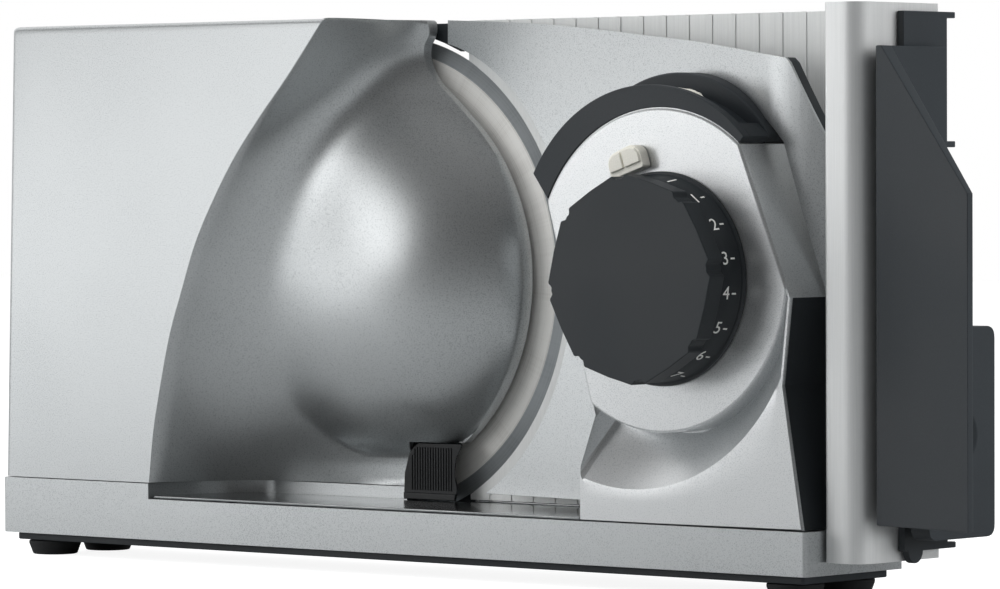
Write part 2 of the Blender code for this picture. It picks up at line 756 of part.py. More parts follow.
def housing_depth(x, z):
    """Depth of the moulded front at a place: flat face, crease, bowl, dome and the flare at its foot."""
    crease = housing_crease(z)
    if x <= crease:
        return HOUSING_FACE_Y
    share = height_share(z)
    deep = HOUSING_BACK_Y - HOUSING_FACE_Y
    along = min(1.0, (x - crease) / (housing_right(z) - crease))
    bowl = deep * share_of(BOWL_SHARES, share)
    turn = BOWL_TURN * share_of(BOWL_TURN_SHARES, share)
    wall = HOUSING_FACE_Y + bowl * (1 - math.exp(-(x - crease) / turn)) + (deep - bowl) * along ** 3
    inside = max(0.0, 1 - dome_share(x, z) ** 2)
    dome = HOUSING_BACK_Y - DOME_LIFT * inside ** DOME_PROFILE_SHARE
    soft = max(0.0, 1 - abs(wall - dome) / DOME_BLEND)
    depth = min(wall, dome) - soft * soft * DOME_BLEND / 4
    flare_height = FLARE_FOOT + (FLARE_RISE - FLARE_FOOT) * along
    flare = max(0.0, 1 - (z - PLINTH_Z) / flare_height)
    depth = min(depth, HOUSING_BACK_Y - FLARE_DEPTH * flare ** 2)
    return min(HOUSING_BACK_Y - EDGE, max(HOUSING_FACE_Y, depth))


def loft(name, sections):
    """A closed body through sections that have the same number of points each."""
    count = len(sections[0])
    points = [point for section in sections for point in section]
    faces = [tuple(range(count))[::-1]]
    for j in range(len(sections) - 1):
        for i in range(count):
            first = j * count + i
            second = j * count + (i + 1) % count
            faces.append((first, second, second + count, first + count))
    last = (len(sections) - 1) * count
    faces.append(tuple(range(last, last + count)))
    mesh = bpy.data.meshes.new(name)
    mesh.from_pydata(points, [], faces)
    work = bmesh.new()
    work.from_mesh(mesh)
    outward(work)
    work.to_mesh(mesh)
    work.free()
    smooth(mesh, 50)
    return link(name, mesh)


def housing_section(z):
    """Plan of the housing at a height, anticlockwise from its rear left corner."""
    left = housing_left(z)
    crease = housing_crease(z)
    right = housing_right(z)
    front = HOUSING_FACE_Y
    plan = [(left, HOUSING_BACK_Y)]
    plan += arc(left + HOUSING_CORNER, front + HOUSING_CORNER, HOUSING_CORNER, 180, 270, 3)
    start = left + HOUSING_CORNER
    plan += [(start + (crease - start) * i / HOUSING_FLATS, front) for i in range(1, HOUSING_FLATS + 1)]
    for i in range(1, HOUSING_COLUMNS):
        share = i / HOUSING_COLUMNS
        x = crease + (right - crease) * (1 - (1 - share) ** 1.4)
        plan.append((x, housing_depth(x, z)))
    return plan + [(right, HOUSING_BACK_Y - EDGE), (right, HOUSING_BACK_Y)]


def hollow_section(z):
    """Plan of the housing's hollow at a height: at least a wall's width behind the front."""
    wall = HOUSING_WALL
    left = housing_left(z) + wall
    right = housing_right(z) - wall
    far = HOUSING_BACK_Y + OVERRUN
    plan = [(left, far)]
    for i in range(HOUSING_COLUMNS + 1):
        x = left + (right - left) * i / HOUSING_COLUMNS
        depth = HOUSING_FACE_Y
        for turn in range(0, 360, 30):
            near_x = min(right + wall, x + wall * math.cos(math.radians(turn)))
            near_z = z + wall * math.sin(math.radians(turn))
            depth = max(depth, housing_depth(near_x, near_z))
        plan.append((x, min(depth + wall, far - GAP)))
    return plan + [(right, far)]


def motor_housing(parent):
    """Moulded housing: a loft from the flat face through the bowl to the dome, hollow behind."""
    low = PLINTH_Z + GAP
    high = HOUSING_TOP_Z
    sections = []
    for j in range(HOUSING_ROWS + 1):
        z = low + (high - EDGE - low) * j / HOUSING_ROWS
        sections.append([(x, y, z) for x, y in housing_section(z)])
    top = [(x, y) for x, y, _ in sections[-1]]
    drawn_in = offset(top, -EDGE)
    drawn_in = [(x, min(y, HOUSING_BACK_Y)) for x, y in drawn_in]
    drawn_in[0] = (drawn_in[0][0], HOUSING_BACK_Y)
    drawn_in[-1] = (drawn_in[-1][0], HOUSING_BACK_Y)
    sections.append([(x, y, high) for x, y in drawn_in])
    piece = loft("motor_housing", sections)
    inner = []
    for j in range(HOUSING_ROWS + 1):
        z = low + HOUSING_WALL + (high - low - HOUSING_WALL * 2) * j / HOUSING_ROWS
        inner.append([(x, y, z) for x, y in hollow_section(z)])
    boolean(piece, loft("housing_hollow", inner))
    far = BASE_LENGTH
    boolean(piece, plate("guard_pocket", [offset(guard_outline(), RUNNING)], -far, far, FRONT))
    return finish(piece, SILVER, parent)


def guard_outline():
    """Front outline of the finger guard, anticlockwise."""
    low = FLOOR_Z + EDGE + GAP * 2
    return [(GUARD_LEFT, low), (GUARD_WAIST, low), (GUARD_WAIST, low + GUARD_SLOPE),
            (GUARD_RIGHT, GUARD_TOP_Z), (GUARD_TOP_LEFT, GUARD_TOP_Z),
            (GUARD_LEFT + RUNNING, low + (GUARD_TOP_Z - low) * GUARD_BEND_SHARE)]


def blade_guard(parent):
    """Black guard that covers the foot of the blade."""
    piece = plate("blade_guard", [guard_outline()], GUARD_FRONT_Y, GUARD_BACK_Y, FRONT)
    bevel(piece, EDGE, 2)
    return finish(piece, GLOSS, parent)


def back_outline(inset):
    """Rear outline of the motor housing, drawn in by an inset, anticlockwise seen from the front."""
    low = PLINTH_Z + GAP + inset
    high = HOUSING_TOP_Z - inset
    points = [(inset, low)]
    steps = 24
    for i in range(steps + 1):
        z = low + (high - low) * i / steps
        points.append((min(housing_right(z), HOUSING_TOP_WIDTH + HOUSING_RADIUS) - inset, z))
    points.append((HOUSING_DRAFT + inset, high))
    return points


def gear_bulkhead(parent):
    """Plate that closes the housing's open back and carries the drive."""
    near = HOUSING_BACK_Y + GAP
    outline = [point for point in back_outline(COVER_INSET)]
    piece = plate("gear_bulkhead", [outline], near, near + BULKHEAD_THICK, FRONT)
    bore = SHAFT_RADIUS + BUSH_WALL + GAP
    far = near + BULKHEAD_THICK + OVERRUN
    boolean(piece, rod("bush_seat", (BLADE_X, BLADE_Z), "Y", near - OVERRUN, far, bore))
    boolean(piece, plate("guard_notch", [offset(guard_outline(), RUNNING)], near - OVERRUN, far, FRONT))
    boolean(piece, rod("inlet_seat", (INLET_X, INLET_Z), "Y", near - OVERRUN, far, INLET_RADIUS + GAP))
    return finish(piece, BLACK, parent)


def back_cover(parent):
    """Rear cover of the motor housing, cut round the blade and flush with it."""
    near = HOUSING_BACK_Y + BULKHEAD_THICK + GAP * 2
    piece = plate("back_cover", [back_outline(COVER_INSET)], near, BLADE_BACK_Y, FRONT)
    boolean(piece, rod("blade_opening", (BLADE_X, BLADE_Z), "Y", near - OVERRUN, BLADE_BACK_Y + OVERRUN,
                       BLADE_RADIUS + BLADE_CLEARANCE, BLADE_SIDES))
    far = BASE_LENGTH
    boolean(piece, block("back_trim", (BLADE_X, near - OVERRUN, -far),
                         (far, BLADE_BACK_Y + OVERRUN, BLADE_Z)))
    boolean(piece, rod("inlet_hole", (INLET_X, INLET_Z), "Y", near - OVERRUN, BLADE_BACK_Y + OVERRUN,
                       INLET_RADIUS + GAP))
    for i in range(VENT_COUNT):
        low = VENT_Z - VENT_PITCH * i
        slot = block("vent_slot_%d" % i, (VENT_X - VENT_LENGTH / 2, near - OVERRUN, low),
                     (VENT_X + VENT_LENGTH / 2, BLADE_BACK_Y + OVERRUN, low + VENT_WIDTH))
        boolean(piece, slot)
    return finish(piece, SILVER, parent)


def cord_inlet(parent):
    """Grommet that the mains lead would leave through."""
    near = HOUSING_BACK_Y - INLET_REACH
    far = BLADE_BACK_Y + GAP
    tip = far + INLET_REACH
    profile = [(INLET_BORE, tip), (INLET_RADIUS - EDGE, tip), (INLET_FLANGE, far + EDGE),
               (INLET_FLANGE, far), (INLET_RADIUS, far), (INLET_RADIUS, near), (INLET_BORE, near)]
    piece = turned("cord_inlet", profile, (INLET_X, 0, INLET_Z), "Y", 24)
    return finish(piece, RUBBER, parent)


def blade(parent):
    """Round blade with a ground bevel, dished at the middle."""
    front = BLADE_BACK_Y - BLADE_THICK
    edge = BLADE_BACK_Y - BLADE_EDGE_THICK
    profile = [(BLADE_BORE, BLADE_BACK_Y), (BLADE_RADIUS, BLADE_BACK_Y), (BLADE_RADIUS, edge),
               (BLADE_RADIUS - BLADE_BEVEL, front), (BLADE_BORE, front)]
    piece = turned("blade", profile, (BLADE_X, 0, BLADE_Z), "Y", BLADE_SIDES)
    return finish(piece, STEEL, parent)


def blade_cap(parent):
    """Turned cap that clamps the blade on its shaft."""
    near = BLADE_BACK_Y + GAP
    profile = [(0, near + BLADE_CAP_THICK), (BLADE_CAP_RADIUS * 0.8, near + BLADE_CAP_THICK),
               (BLADE_CAP_RADIUS, near + EDGE), (BLADE_CAP_RADIUS, near), (0, near)]
    piece = turned("blade_cap", profile, (BLADE_X, 0, BLADE_Z), "Y", 48)
    return finish(piece, ANODISED, parent)


def blade_shaft(parent):
    """Shaft from the worm wheel through its bush to the blade's bore."""
    shoulder = BLADE_BACK_Y - BLADE_THICK - GAP
    wheel_back = DRIVE_Y + WHEEL_WIDTH / 2 + GAP
    seat = BLADE_BORE - GAP
    profile = [(0, BLADE_BACK_Y), (seat, BLADE_BACK_Y), (seat, shoulder), (SHAFT_RADIUS, shoulder),
               (SHAFT_RADIUS, wheel_back), (SHAFT_RADIUS, SHAFT_FRONT_Y), (0, SHAFT_FRONT_Y)]
    piece = turned("blade_shaft", profile, (BLADE_X, 0, BLADE_Z), "Y", 32)
    return finish(piece, STEEL, parent)


def worm_wheel(parent):
    """Toothed wheel that the worm drives."""
    outline = []
    for i in range(WHEEL_TEETH):
        for k, height in enumerate((0, 1, 1, 0)):
            turn = 2 * math.pi * (i + k / 4) / WHEEL_TEETH
            radius = WHEEL_RADIUS - TOOTH_DEPTH * (1 - height)
            outline.append((BLADE_X + radius * math.cos(turn), BLADE_Z + radius * math.sin(turn)))
    bore = ring(BLADE_X, BLADE_Z, SHAFT_RADIUS + GAP, BORE_SIDES)
    half = WHEEL_WIDTH / 2
    piece = plate("worm_wheel", [outline, bore], DRIVE_Y - half, DRIVE_Y + half, FRONT)
    return finish(piece, NYLON, parent)


def blade_bush(parent):
    """Flanged bush in the bulkhead that the blade's shaft runs in."""
    back = HOUSING_BACK_Y + GAP + BULKHEAD_THICK
    front = DRIVE_Y + WHEEL_WIDTH / 2 + RUNNING
    bore = SHAFT_RADIUS + GAP
    outer = SHAFT_RADIUS + BUSH_WALL
    flange = HOUSING_BACK_Y
    profile = [(bore, back), (outer, back), (outer, flange), (outer + BUSH_WALL, flange),
               (outer + BUSH_WALL, flange - BUSH_WALL), (outer, flange - BUSH_WALL), (outer, front),
               (bore, front)]
    piece = turned("blade_bush", profile, (BLADE_X, 0, BLADE_Z), "Y", 32)
    return finish(piece, BRASS, parent)


def worm_height():
    """Height of the worm's axis above the wheel."""
    return BLADE_Z + WHEEL_RADIUS + WORM_RADIUS + RUNNING


def motor_can(parent):
    """Motor body: a turned can with a bearing boss, seated on the bulkhead."""
    end = MOTOR_START_X + MOTOR_LENGTH
    bore = ROTOR_RADIUS + GAP
    start = MOTOR_START_X + FAN_WIDTH + RUNNING * 2
    boss = bore * 2
    profile = [(bore, end + MOTOR_BOSS), (boss, end + MOTOR_BOSS), (boss, end), (MOTOR_RADIUS - EDGE, end),
               (MOTOR_RADIUS, end - EDGE), (MOTOR_RADIUS, start), (bore, start)]
    y = DRIVE_Y
    piece = turned("motor_can", profile, (0, y, worm_height()), "X", 40)
    return finish(piece, STEEL, parent)


def motor_shaft(parent):
    """Rotor shaft with the worm at its end."""
    worm_end = BLADE_X + WORM_LENGTH / 2
    worm_start = BLADE_X - WORM_LENGTH / 2
    profile = [(0, worm_end), (WORM_RADIUS - TOOTH_DEPTH, worm_end)]
    turns = 6
    pitch = (worm_end - worm_start) / turns
    for i in range(turns):
        top = worm_end - pitch * i
        profile += [(WORM_RADIUS, top - pitch * 0.3), (WORM_RADIUS, top - pitch * 0.5),
                    (WORM_RADIUS - TOOTH_DEPTH, top - pitch * 0.8)]
    profile += [(ROTOR_RADIUS, worm_start), (ROTOR_RADIUS, MOTOR_START_X), (0, MOTOR_START_X)]
    y = DRIVE_Y
    piece = turned("motor_shaft", profile, (0, y, worm_height()), "X", 24)
    return finish(piece, STEEL, parent)


def motor_fan(parent):
    """Cooling fan on the shaft's far end."""
    y = DRIVE_Y
    z = worm_height()
    outline = []
    hub = ROTOR_RADIUS * 2
    for i in range(FAN_BLADES):
        start = 360 * i / FAN_BLADES
        outline += arc(y, z, FAN_RADIUS, start, start + 180 / FAN_BLADES, 2)
        outline += arc(y, z, hub, start + 180 / FAN_BLADES, start + 360 / FAN_BLADES, 2)
    bore = ring(y, z, ROTOR_RADIUS + GAP, BORE_SIDES)
    near = MOTOR_START_X
    piece = plate("motor_fan", [outline, bore], near, near + FAN_WIDTH, SIDE)
    return finish(piece, BLACK, parent)


def dial_outline():
    """Front outline of the dial housing, anticlockwise from its left foot."""
    foot = FLOOR_Z + GAP
    points = [(DIAL_LEFT, foot), (DIAL_RIGHT, foot), (DIAL_WAIST_X, DIAL_WAIST_Z),
              (DIAL_ELBOW_X, DIAL_ELBOW_Z)]
    points += arc(DISC_X, DISC_Z, DISC_RADIUS, DISC_RIGHT_ANGLE, DISC_LEFT_ANGLE, 26)
    return points + [(DIAL_LEFT + DIAL_SEAM, DIAL_SEAM_Z), (DIAL_LEFT, foot + DIAL_LEFT_HEIGHT)]


def cap_outline():
    """Front outline of the switch cap: a crescent over the disc."""
    outer = arc(CAP_X, CAP_Z, CAP_RADIUS, CAP_RIGHT_ANGLE, CAP_LEFT_ANGLE, 26)
    inner = arc(DISC_X, DISC_Z, DISC_RADIUS + GAP, DISC_LEFT_ANGLE - 1, DISC_RIGHT_ANGLE, 26)
    return outer + inner


def dial_housing(parent):
    """Housing of the dial: a slab with a scooped crescent, hollow behind."""
    outline = dial_outline()
    piece = plate("dial_housing", [outline], DIAL_FACE_Y, DIAL_BACK_Y, FRONT)
    hollow = plate("dial_hollow", [offset(outline, -DIAL_WALL)], DIAL_FACE_Y + DIAL_SLAB,
                   DIAL_BACK_Y + OVERRUN, FRONT)
    boolean(piece, hollow)
    scoop = plate("dial_scoop", [ring(SCOOP_X, SCOOP_Z, SCOOP_RADIUS, DISC_SIDES),
                                 ring(DISC_X, DISC_Z, DISC_RADIUS, DISC_SIDES)],
                  DIAL_FACE_Y - OVERRUN, DIAL_FACE_Y + SCOOP_DEPTH, FRONT)
    keep = BASE_LENGTH
    top_trim = block("scoop_limit", (-keep, -keep, DIAL_ELBOW_Z), (keep * 2, keep, keep))
    boolean(scoop, top_trim)
    boolean(piece, scoop)
    boolean(piece, rod("spindle_bore", (KNOB_X, KNOB_Z), "Y", DIAL_FACE_Y - OVERRUN,
                       DIAL_FACE_Y + DIAL_SLAB + OVERRUN, SPINDLE_RADIUS + GAP))
    for side in (-1, 1):
        place = (KNOB_X, KNOB_Z + side * ROD_OFFSET_Z)
        boolean(piece, rod("rod_seat_%d" % side, place, "Y", DIAL_FACE_Y + DIAL_SLAB - ROD_RADIUS * 2,
                           DIAL_BACK_Y, ROD_RADIUS + GAP))
    bevel(piece, EDGE, 2, 50)
    return finish(piece, SILVER, parent)


def switch_cap(parent):
    """Black crescent that roofs the dial housing, with a trough for the switch."""
    piece = plate("switch_cap", [cap_outline()], DIAL_FACE_Y, CAP_BACK_Y, FRONT)
    near = DIAL_FACE_Y + CAP_TROUGH_Y
    trough = arc(DISC_X, DISC_Z, CAP_TROUGH_RADIUS + GAP, CAP_TROUGH_START, CAP_TROUGH_END, 16)
    trough += arc(CAP_X, CAP_Z, CAP_RADIUS + OVERRUN, CAP_TROUGH_END, CAP_TROUGH_START, 16)
    boolean(piece, plate("cap_trough", [trough], near, near + CAP_TROUGH_WIDTH, FRONT))
    return finish(piece, BLACK, parent)


def switch_slider(parent):
    """Cream switch lever that slides along the trough."""
    near = DIAL_FACE_Y + CAP_TROUGH_Y + (CAP_TROUGH_WIDTH - SLIDER_WIDTH) / 2
    low = CAP_TROUGH_RADIUS + GAP * 2
    start = SLIDER_ANGLE - SLIDER_HALF_ANGLE
    end = SLIDER_ANGLE + SLIDER_HALF_ANGLE
    outline = arc(DISC_X, DISC_Z, low, start, end, 6)
    outline += arc(DISC_X, DISC_Z, low + SLIDER_HEIGHT, end, start, 6)
    piece = plate("switch_slider", [outline], near, near + SLIDER_WIDTH, FRONT)
    bevel(piece, EDGE / 2, 1)
    return finish(piece, CREAM, parent)


def thickness_pointer(parent):
    """Cream index tab beside the dial."""
    far = KNOB_RADIUS + GAP + POINTER_HEIGHT
    half = POINTER_WIDTH / 2
    corners = [(-half, KNOB_RADIUS + GAP), (half, KNOB_RADIUS + GAP), (half, far), (-half, far)]
    sag = math.sqrt((KNOB_RADIUS + GAP) ** 2 + half ** 2) - KNOB_RADIUS - GAP
    corners = [(x, y + sag) for x, y in corners]
    outline = rounded(corners, [EDGE, EDGE, POINTER_CORNER, POINTER_CORNER])
    turn = math.radians(POINTER_ANGLE - 90)
    placed = []
    for x, y in outline:
        placed.append((KNOB_X + x * math.cos(turn) - y * math.sin(turn),
                       KNOB_Z + x * math.sin(turn) + y * math.cos(turn)))
    far_y = DIAL_FACE_Y - GAP
    piece = plate("thickness_pointer", [placed], far_y - POINTER_THICK, far_y, FRONT)
    bevel(piece, EDGE, 2)
    return finish(piece, CREAM, parent)


def knob(parent):
    """Dial: a turned skirt for the scale and an eight-sided grip with notched corners."""
    back = DIAL_FACE_Y - GAP
    grip_back = back - KNOB_SKIRT
    grip_front = KNOB_FACE_Y
    profile = [(0, back), (KNOB_RADIUS, back), (KNOB_RADIUS, back - KNOB_RIM),
               (KNOB_RADIUS - KNOB_RIM / 2, back - KNOB_RIM), (KNOB_TOP_RADIUS, grip_back - KNOB_RIM),
               (KNOB_TOP_RADIUS - KNOB_RIM, grip_back - KNOB_RIM * 2), (0, grip_back - KNOB_RIM * 2)]
    skirt = turned("knob_skirt", profile, (KNOB_X, 0, KNOB_Z), "Y", 64)
    outline = []
    step = 360 / KNOB_GRIP_SIDES
    for i in range(KNOB_GRIP_SIDES):
        turn = KNOB_GRIP_ANGLE + step * i
        for shift, depth in ((-5, 0), (-2.2, KNOB_NOTCH), (2.2, KNOB_NOTCH), (5, 0)):
            angle = math.radians(turn + shift)
            flat = math.cos(math.radians(step / 2)) / math.cos(math.radians(step / 2 - abs(shift)))
            radius = KNOB_GRIP_RADIUS * flat - depth
            outline.append((KNOB_X + radius * math.cos(angle), KNOB_Z + radius * math.sin(angle)))
    piece = plate("thickness_knob", [outline], grip_front, grip_back, FRONT)
    boolean(piece, skirt, "UNION")
    boolean(piece, rod("spindle_socket", (KNOB_X, KNOB_Z), "Y", back - SPINDLE_SOCKET, back + OVERRUN,
                       SPINDLE_RADIUS + GAP))
    bevel(piece, KNOB_EDGE, 2, 50)
    return finish(piece, BLACK, parent)


def knob_spindle(parent):
    """Spindle of the dial, with a coarse thread for the nut."""
    front = DIAL_FACE_Y - SPINDLE_SOCKET
    back = ROD_BACK_Y
    thread_front = DIAL_FACE_Y + DIAL_SLAB + THREAD_DEPTH * 4
    profile = [(0, back), (SPINDLE_RADIUS - THREAD_DEPTH, back)]
    turns = int((back - thread_front) / THREAD_PITCH * 4)
    pitch = (back - thread_front) / turns
    for i in range(turns):
        top = back - pitch * i
        profile += [(SPINDLE_RADIUS, top - pitch * 0.3), (SPINDLE_RADIUS, top - pitch * 0.6),
                    (SPINDLE_RADIUS - THREAD_DEPTH, top - pitch * 0.9)]
    profile += [(SPINDLE_RADIUS, thread_front), (SPINDLE_RADIUS, front), (0, front)]
    piece = turned("knob_spindle", profile, (KNOB_X, 0, KNOB_Z), "Y", 32)
    return finish(piece, STEEL, parent)


def guide_rods(parent):
    """Two steel rods in the dial housing that guide the stop plate."""
    for side, name in ((-1, "lower"), (1, "upper")):
        place = (KNOB_X, KNOB_Z + side * ROD_OFFSET_Z)
        start = DIAL_FACE_Y + DIAL_SLAB - ROD_RADIUS * 2 + GAP
        piece = rod("guide_rod_" + name, place, "Y", start, ROD_BACK_Y, ROD_RADIUS, 24)
        finish(piece, STEEL, parent)


def stop_plan():
    """Plan of the stop plate's extrusion, with its flutes and its hollow column."""
    outer = [(STOP_LEFT, STOP_BACK_Y), (STOP_LEFT, STOP_FRONT_Y)]
    x = STOP_LEFT + FLUTE_PITCH - FLUTE_WIDTH
    while x + FLUTE_PITCH < COLUMN_LEFT:
        floor = STOP_FRONT_Y + FLUTE_DEPTH
        outer += [(x, STOP_FRONT_Y), (x + FLUTE_DEPTH, floor), (x + FLUTE_WIDTH - FLUTE_DEPTH, floor),
                  (x + FLUTE_WIDTH, STOP_FRONT_Y)]
        x += FLUTE_PITCH
    right = COLUMN_LEFT + COLUMN_WIDTH
    shell = rounded([(COLUMN_LEFT, STOP_FRONT_Y), (COLUMN_LEFT, COLUMN_FRONT_Y), (right, COLUMN_FRONT_Y),
                     (right, STOP_BACK_Y)], [0, COLUMN_CORNER, COLUMN_ROUND, COLUMN_CORNER], 8)
    x = COLUMN_LEFT - FLUTE_PITCH
    back = []
    while x - FLUTE_PITCH > STOP_LEFT:
        floor = STOP_BACK_Y - FLUTE_DEPTH
        back += [(x, STOP_BACK_Y), (x - FLUTE_DEPTH, floor), (x - FLUTE_WIDTH + FLUTE_DEPTH, floor),
                 (x - FLUTE_WIDTH, STOP_BACK_Y)]
        x -= FLUTE_PITCH
    return outer + shell + back


def stop_plate(parent):
    """Fluted aluminium extrusion with a hollow column, cut round the blade."""
    wall = COLUMN_WALL
    right = COLUMN_LEFT + COLUMN_WIDTH
    hollow = rounded([(COLUMN_LEFT + wall, COLUMN_FRONT_Y + wall), (right - wall, COLUMN_FRONT_Y + wall),
                      (right - wall, STOP_BACK_Y - wall), (COLUMN_LEFT + wall, STOP_BACK_Y - wall)],
                     [COLUMN_CORNER, COLUMN_ROUND - wall, COLUMN_CORNER, COLUMN_CORNER], 6)
    piece = plate("stop_plate", [stop_plan(), hollow], COLUMN_FOOT_Z, COLUMN_TOP_Z)
    far = BASE_LENGTH
    front = STOP_FRONT_Y - OVERRUN
    back = STOP_BACK_Y + OVERRUN
    low = (STOP_LEFT - OVERRUN, front, COLUMN_FOOT_Z - OVERRUN)
    boolean(piece, block("stop_foot_trim", low, (COLUMN_LEFT, back, STOP_FOOT_Z)))
    low = (STOP_LEFT - OVERRUN, front, STOP_TOP_Z)
    boolean(piece, block("stop_top_trim", low, (COLUMN_LEFT, back, far)))
    reach = BLADE_RADIUS + BLADE_CLEARANCE
    boolean(piece, rod("stop_arc", (BLADE_X, BLADE_Z), "Y", front, back, reach, BLADE_SIDES))
    return finish(piece, ANODISED, parent)


def panel_y(x):
    """Depth of the sloping cover's front at a place along the machine."""
    return PANEL_LEFT_Y - (PANEL_LEFT_Y - PANEL_RIGHT_Y) * (x - PANEL_LEFT) / (PANEL_RIGHT - PANEL_LEFT)


def stop_plate_cover(parent):
    """Sloping silver cover on the stop plate, cut round the blade and the dial housing."""
    right = PANEL_RIGHT
    plan = [(PANEL_LEFT, PANEL_LEFT_Y), (right, PANEL_RIGHT_Y), (right, PANEL_RIGHT_Y + PANEL_THICK),
            (PANEL_LEFT, PANEL_LEFT_Y + PANEL_THICK)]
    piece = plate("stop_plate_cover", [plan], PANEL_FOOT_Z, PANEL_TOP_Z)
    far = BASE_LENGTH
    place = (BLADE_X + PANEL_ARC_SHIFT, BLADE_Z)
    boolean(piece, rod("cover_arc", place, "Y", -far, far, PANEL_ARC_RADIUS, BLADE_SIDES))
    span = PANEL_SHOULDER_X - PANEL_LEFT
    fall = PANEL_TOP_Z - PANEL_SHOULDER_Z
    top = []
    for share_x, share_z in PANEL_TOP_SHARES:
        top.append((PANEL_LEFT + span * share_x, PANEL_SHOULDER_Z + fall * share_z))
    roof = [(PANEL_LEFT - OVERRUN, PANEL_TOP_Z + OVERRUN)] + top
    roof += [(PANEL_SHOULDER_X, PANEL_SHOULDER_Z), (right + OVERRUN, PANEL_SLANT_Z - OVERRUN),
             (right + OVERRUN, PANEL_TOP_Z + OVERRUN)]
    boolean(piece, plate("cover_top_trim", [roof[::-1]], -far, far, FRONT))
    window = offset(dial_window(), PANEL_CLEARANCE)
    boolean(piece, plate("cover_window", [window], -far, far, FRONT))
    low = block("cover_left_trim", (PANEL_LEFT - OVERRUN, -far, PANEL_FOOT_Z - OVERRUN),
                (PANEL_LEFT + PANEL_ARC_SHIFT, far, BLADE_Z))
    boolean(piece, low)
    return finish(piece, SILVER, parent)


def dial_window():
    """Outline that the dial housing and its cap pass through, open to the foot and the right."""
    foot = PANEL_FOOT_Z - OVERRUN * 2
    points = [(DIAL_LEFT, foot), (COLUMN_LEFT + OVERRUN, foot), (COLUMN_LEFT + OVERRUN, DIAL_ELBOW_Z)]
    points += [(DIAL_ELBOW_X, DIAL_ELBOW_Z)]
    points += arc(CAP_X, CAP_Z, CAP_RADIUS, CAP_RIGHT_ANGLE, CAP_LEFT_ANGLE, 26)
    left_x = DISC_X + DISC_RADIUS * math.cos(math.radians(DISC_LEFT_ANGLE))
    left_z = DISC_Z + DISC_RADIUS * math.sin(math.radians(DISC_LEFT_ANGLE))
    points += [(left_x, left_z), (DIAL_LEFT + DIAL_SEAM, DIAL_SEAM_Z)]
    return points + [(DIAL_LEFT, FLOOR_Z + GAP + DIAL_LEFT_HEIGHT)]


def stop_carrier(parent):
    """Carrier on the back of the cover: a plate with sleeves on the guide rods."""
    back = STOP_FRONT_Y - GAP
    near = back - CARRIER_THICK
    half_w = CARRIER_WIDTH / 2
    half_h = CARRIER_HEIGHT / 2
    outline = rounded([(KNOB_X - half_w, KNOB_Z - half_h), (KNOB_X + half_w, KNOB_Z - half_h),
                       (KNOB_X + half_w, KNOB_Z + half_h), (KNOB_X - half_w, KNOB_Z + half_h)], NUT_RADIUS)
    piece = plate("stop_carrier", [outline], near, back, FRONT)
    for side in (-1, 1):
        place = (KNOB_X, KNOB_Z + side * ROD_OFFSET_Z)
        boolean(piece, rod("sleeve_%d" % side, place, "Y", near - SLEEVE_LENGTH, back - EDGE,
                           ROD_RADIUS + SLEEVE_WALL, 24), "UNION")
    for side in (-1, 1):
        place = (KNOB_X, KNOB_Z + side * ROD_OFFSET_Z)
        start = near - SLEEVE_LENGTH - OVERRUN
        boolean(piece, rod("sleeve_bore_%d" % side, place, "Y", start, back + OVERRUN, ROD_RADIUS + GAP, 24))
    boolean(piece, rod("nut_seat", (KNOB_X, KNOB_Z), "Y", near - OVERRUN, back + OVERRUN, NUT_RADIUS + GAP))
    return finish(piece, BLACK, parent)


def spindle_nut(parent):
    """Brass nut in the carrier that runs on the dial's spindle."""
    back = STOP_FRONT_Y - GAP
    bore = SPINDLE_RADIUS + GAP
    near = back - NUT_LENGTH
    flange = back - CARRIER_THICK - GAP
    rim = NUT_RADIUS + BUSH_WALL
    front = flange - BUSH_WALL
    profile = [(bore, back), (NUT_RADIUS, back), (NUT_RADIUS, flange), (rim, flange), (rim, front),
               (NUT_RADIUS, front), (NUT_RADIUS, near), (bore, near)]
    piece = turned("spindle_nut", profile, (KNOB_X, 0, KNOB_Z), "Y", 32)
    return finish(piece, BRASS, parent)


def stop_end_cover(parent):
    """Black cover on the column's end face, with three tabs that the remnant holder hooks behind."""
    left = COLUMN_LEFT + COLUMN_WIDTH + GAP
    right = left + END_THICK
    outline = [(END_FRONT_Y, END_FOOT_Z), (END_BACK_Y, END_FOOT_Z), (END_BACK_Y, END_TOP_Z),
               (END_FRONT_Y, END_TOP_Z)]
    piece = plate("stop_end_cover", [outline], left, right, SIDE)
    for i, z in enumerate((END_FOOT_Z, END_MIDDLE_Z, END_TOP_Z - END_TAB_THICK)):
        boolean(piece, block("end_tab_%d" % i, (left, END_BACK_Y - END_TAB, z),
                             (right, END_BACK_Y + END_TAB, z + END_TAB_THICK)), "UNION")
    boolean(piece, rod("end_boss", (END_BOSS_Y, END_FOOT_Z), "X", left, right, END_BOSS_RADIUS, 24), "UNION")
    bevel(piece, EDGE / 2, 1, 60)
    return finish(piece, BLACK, parent)


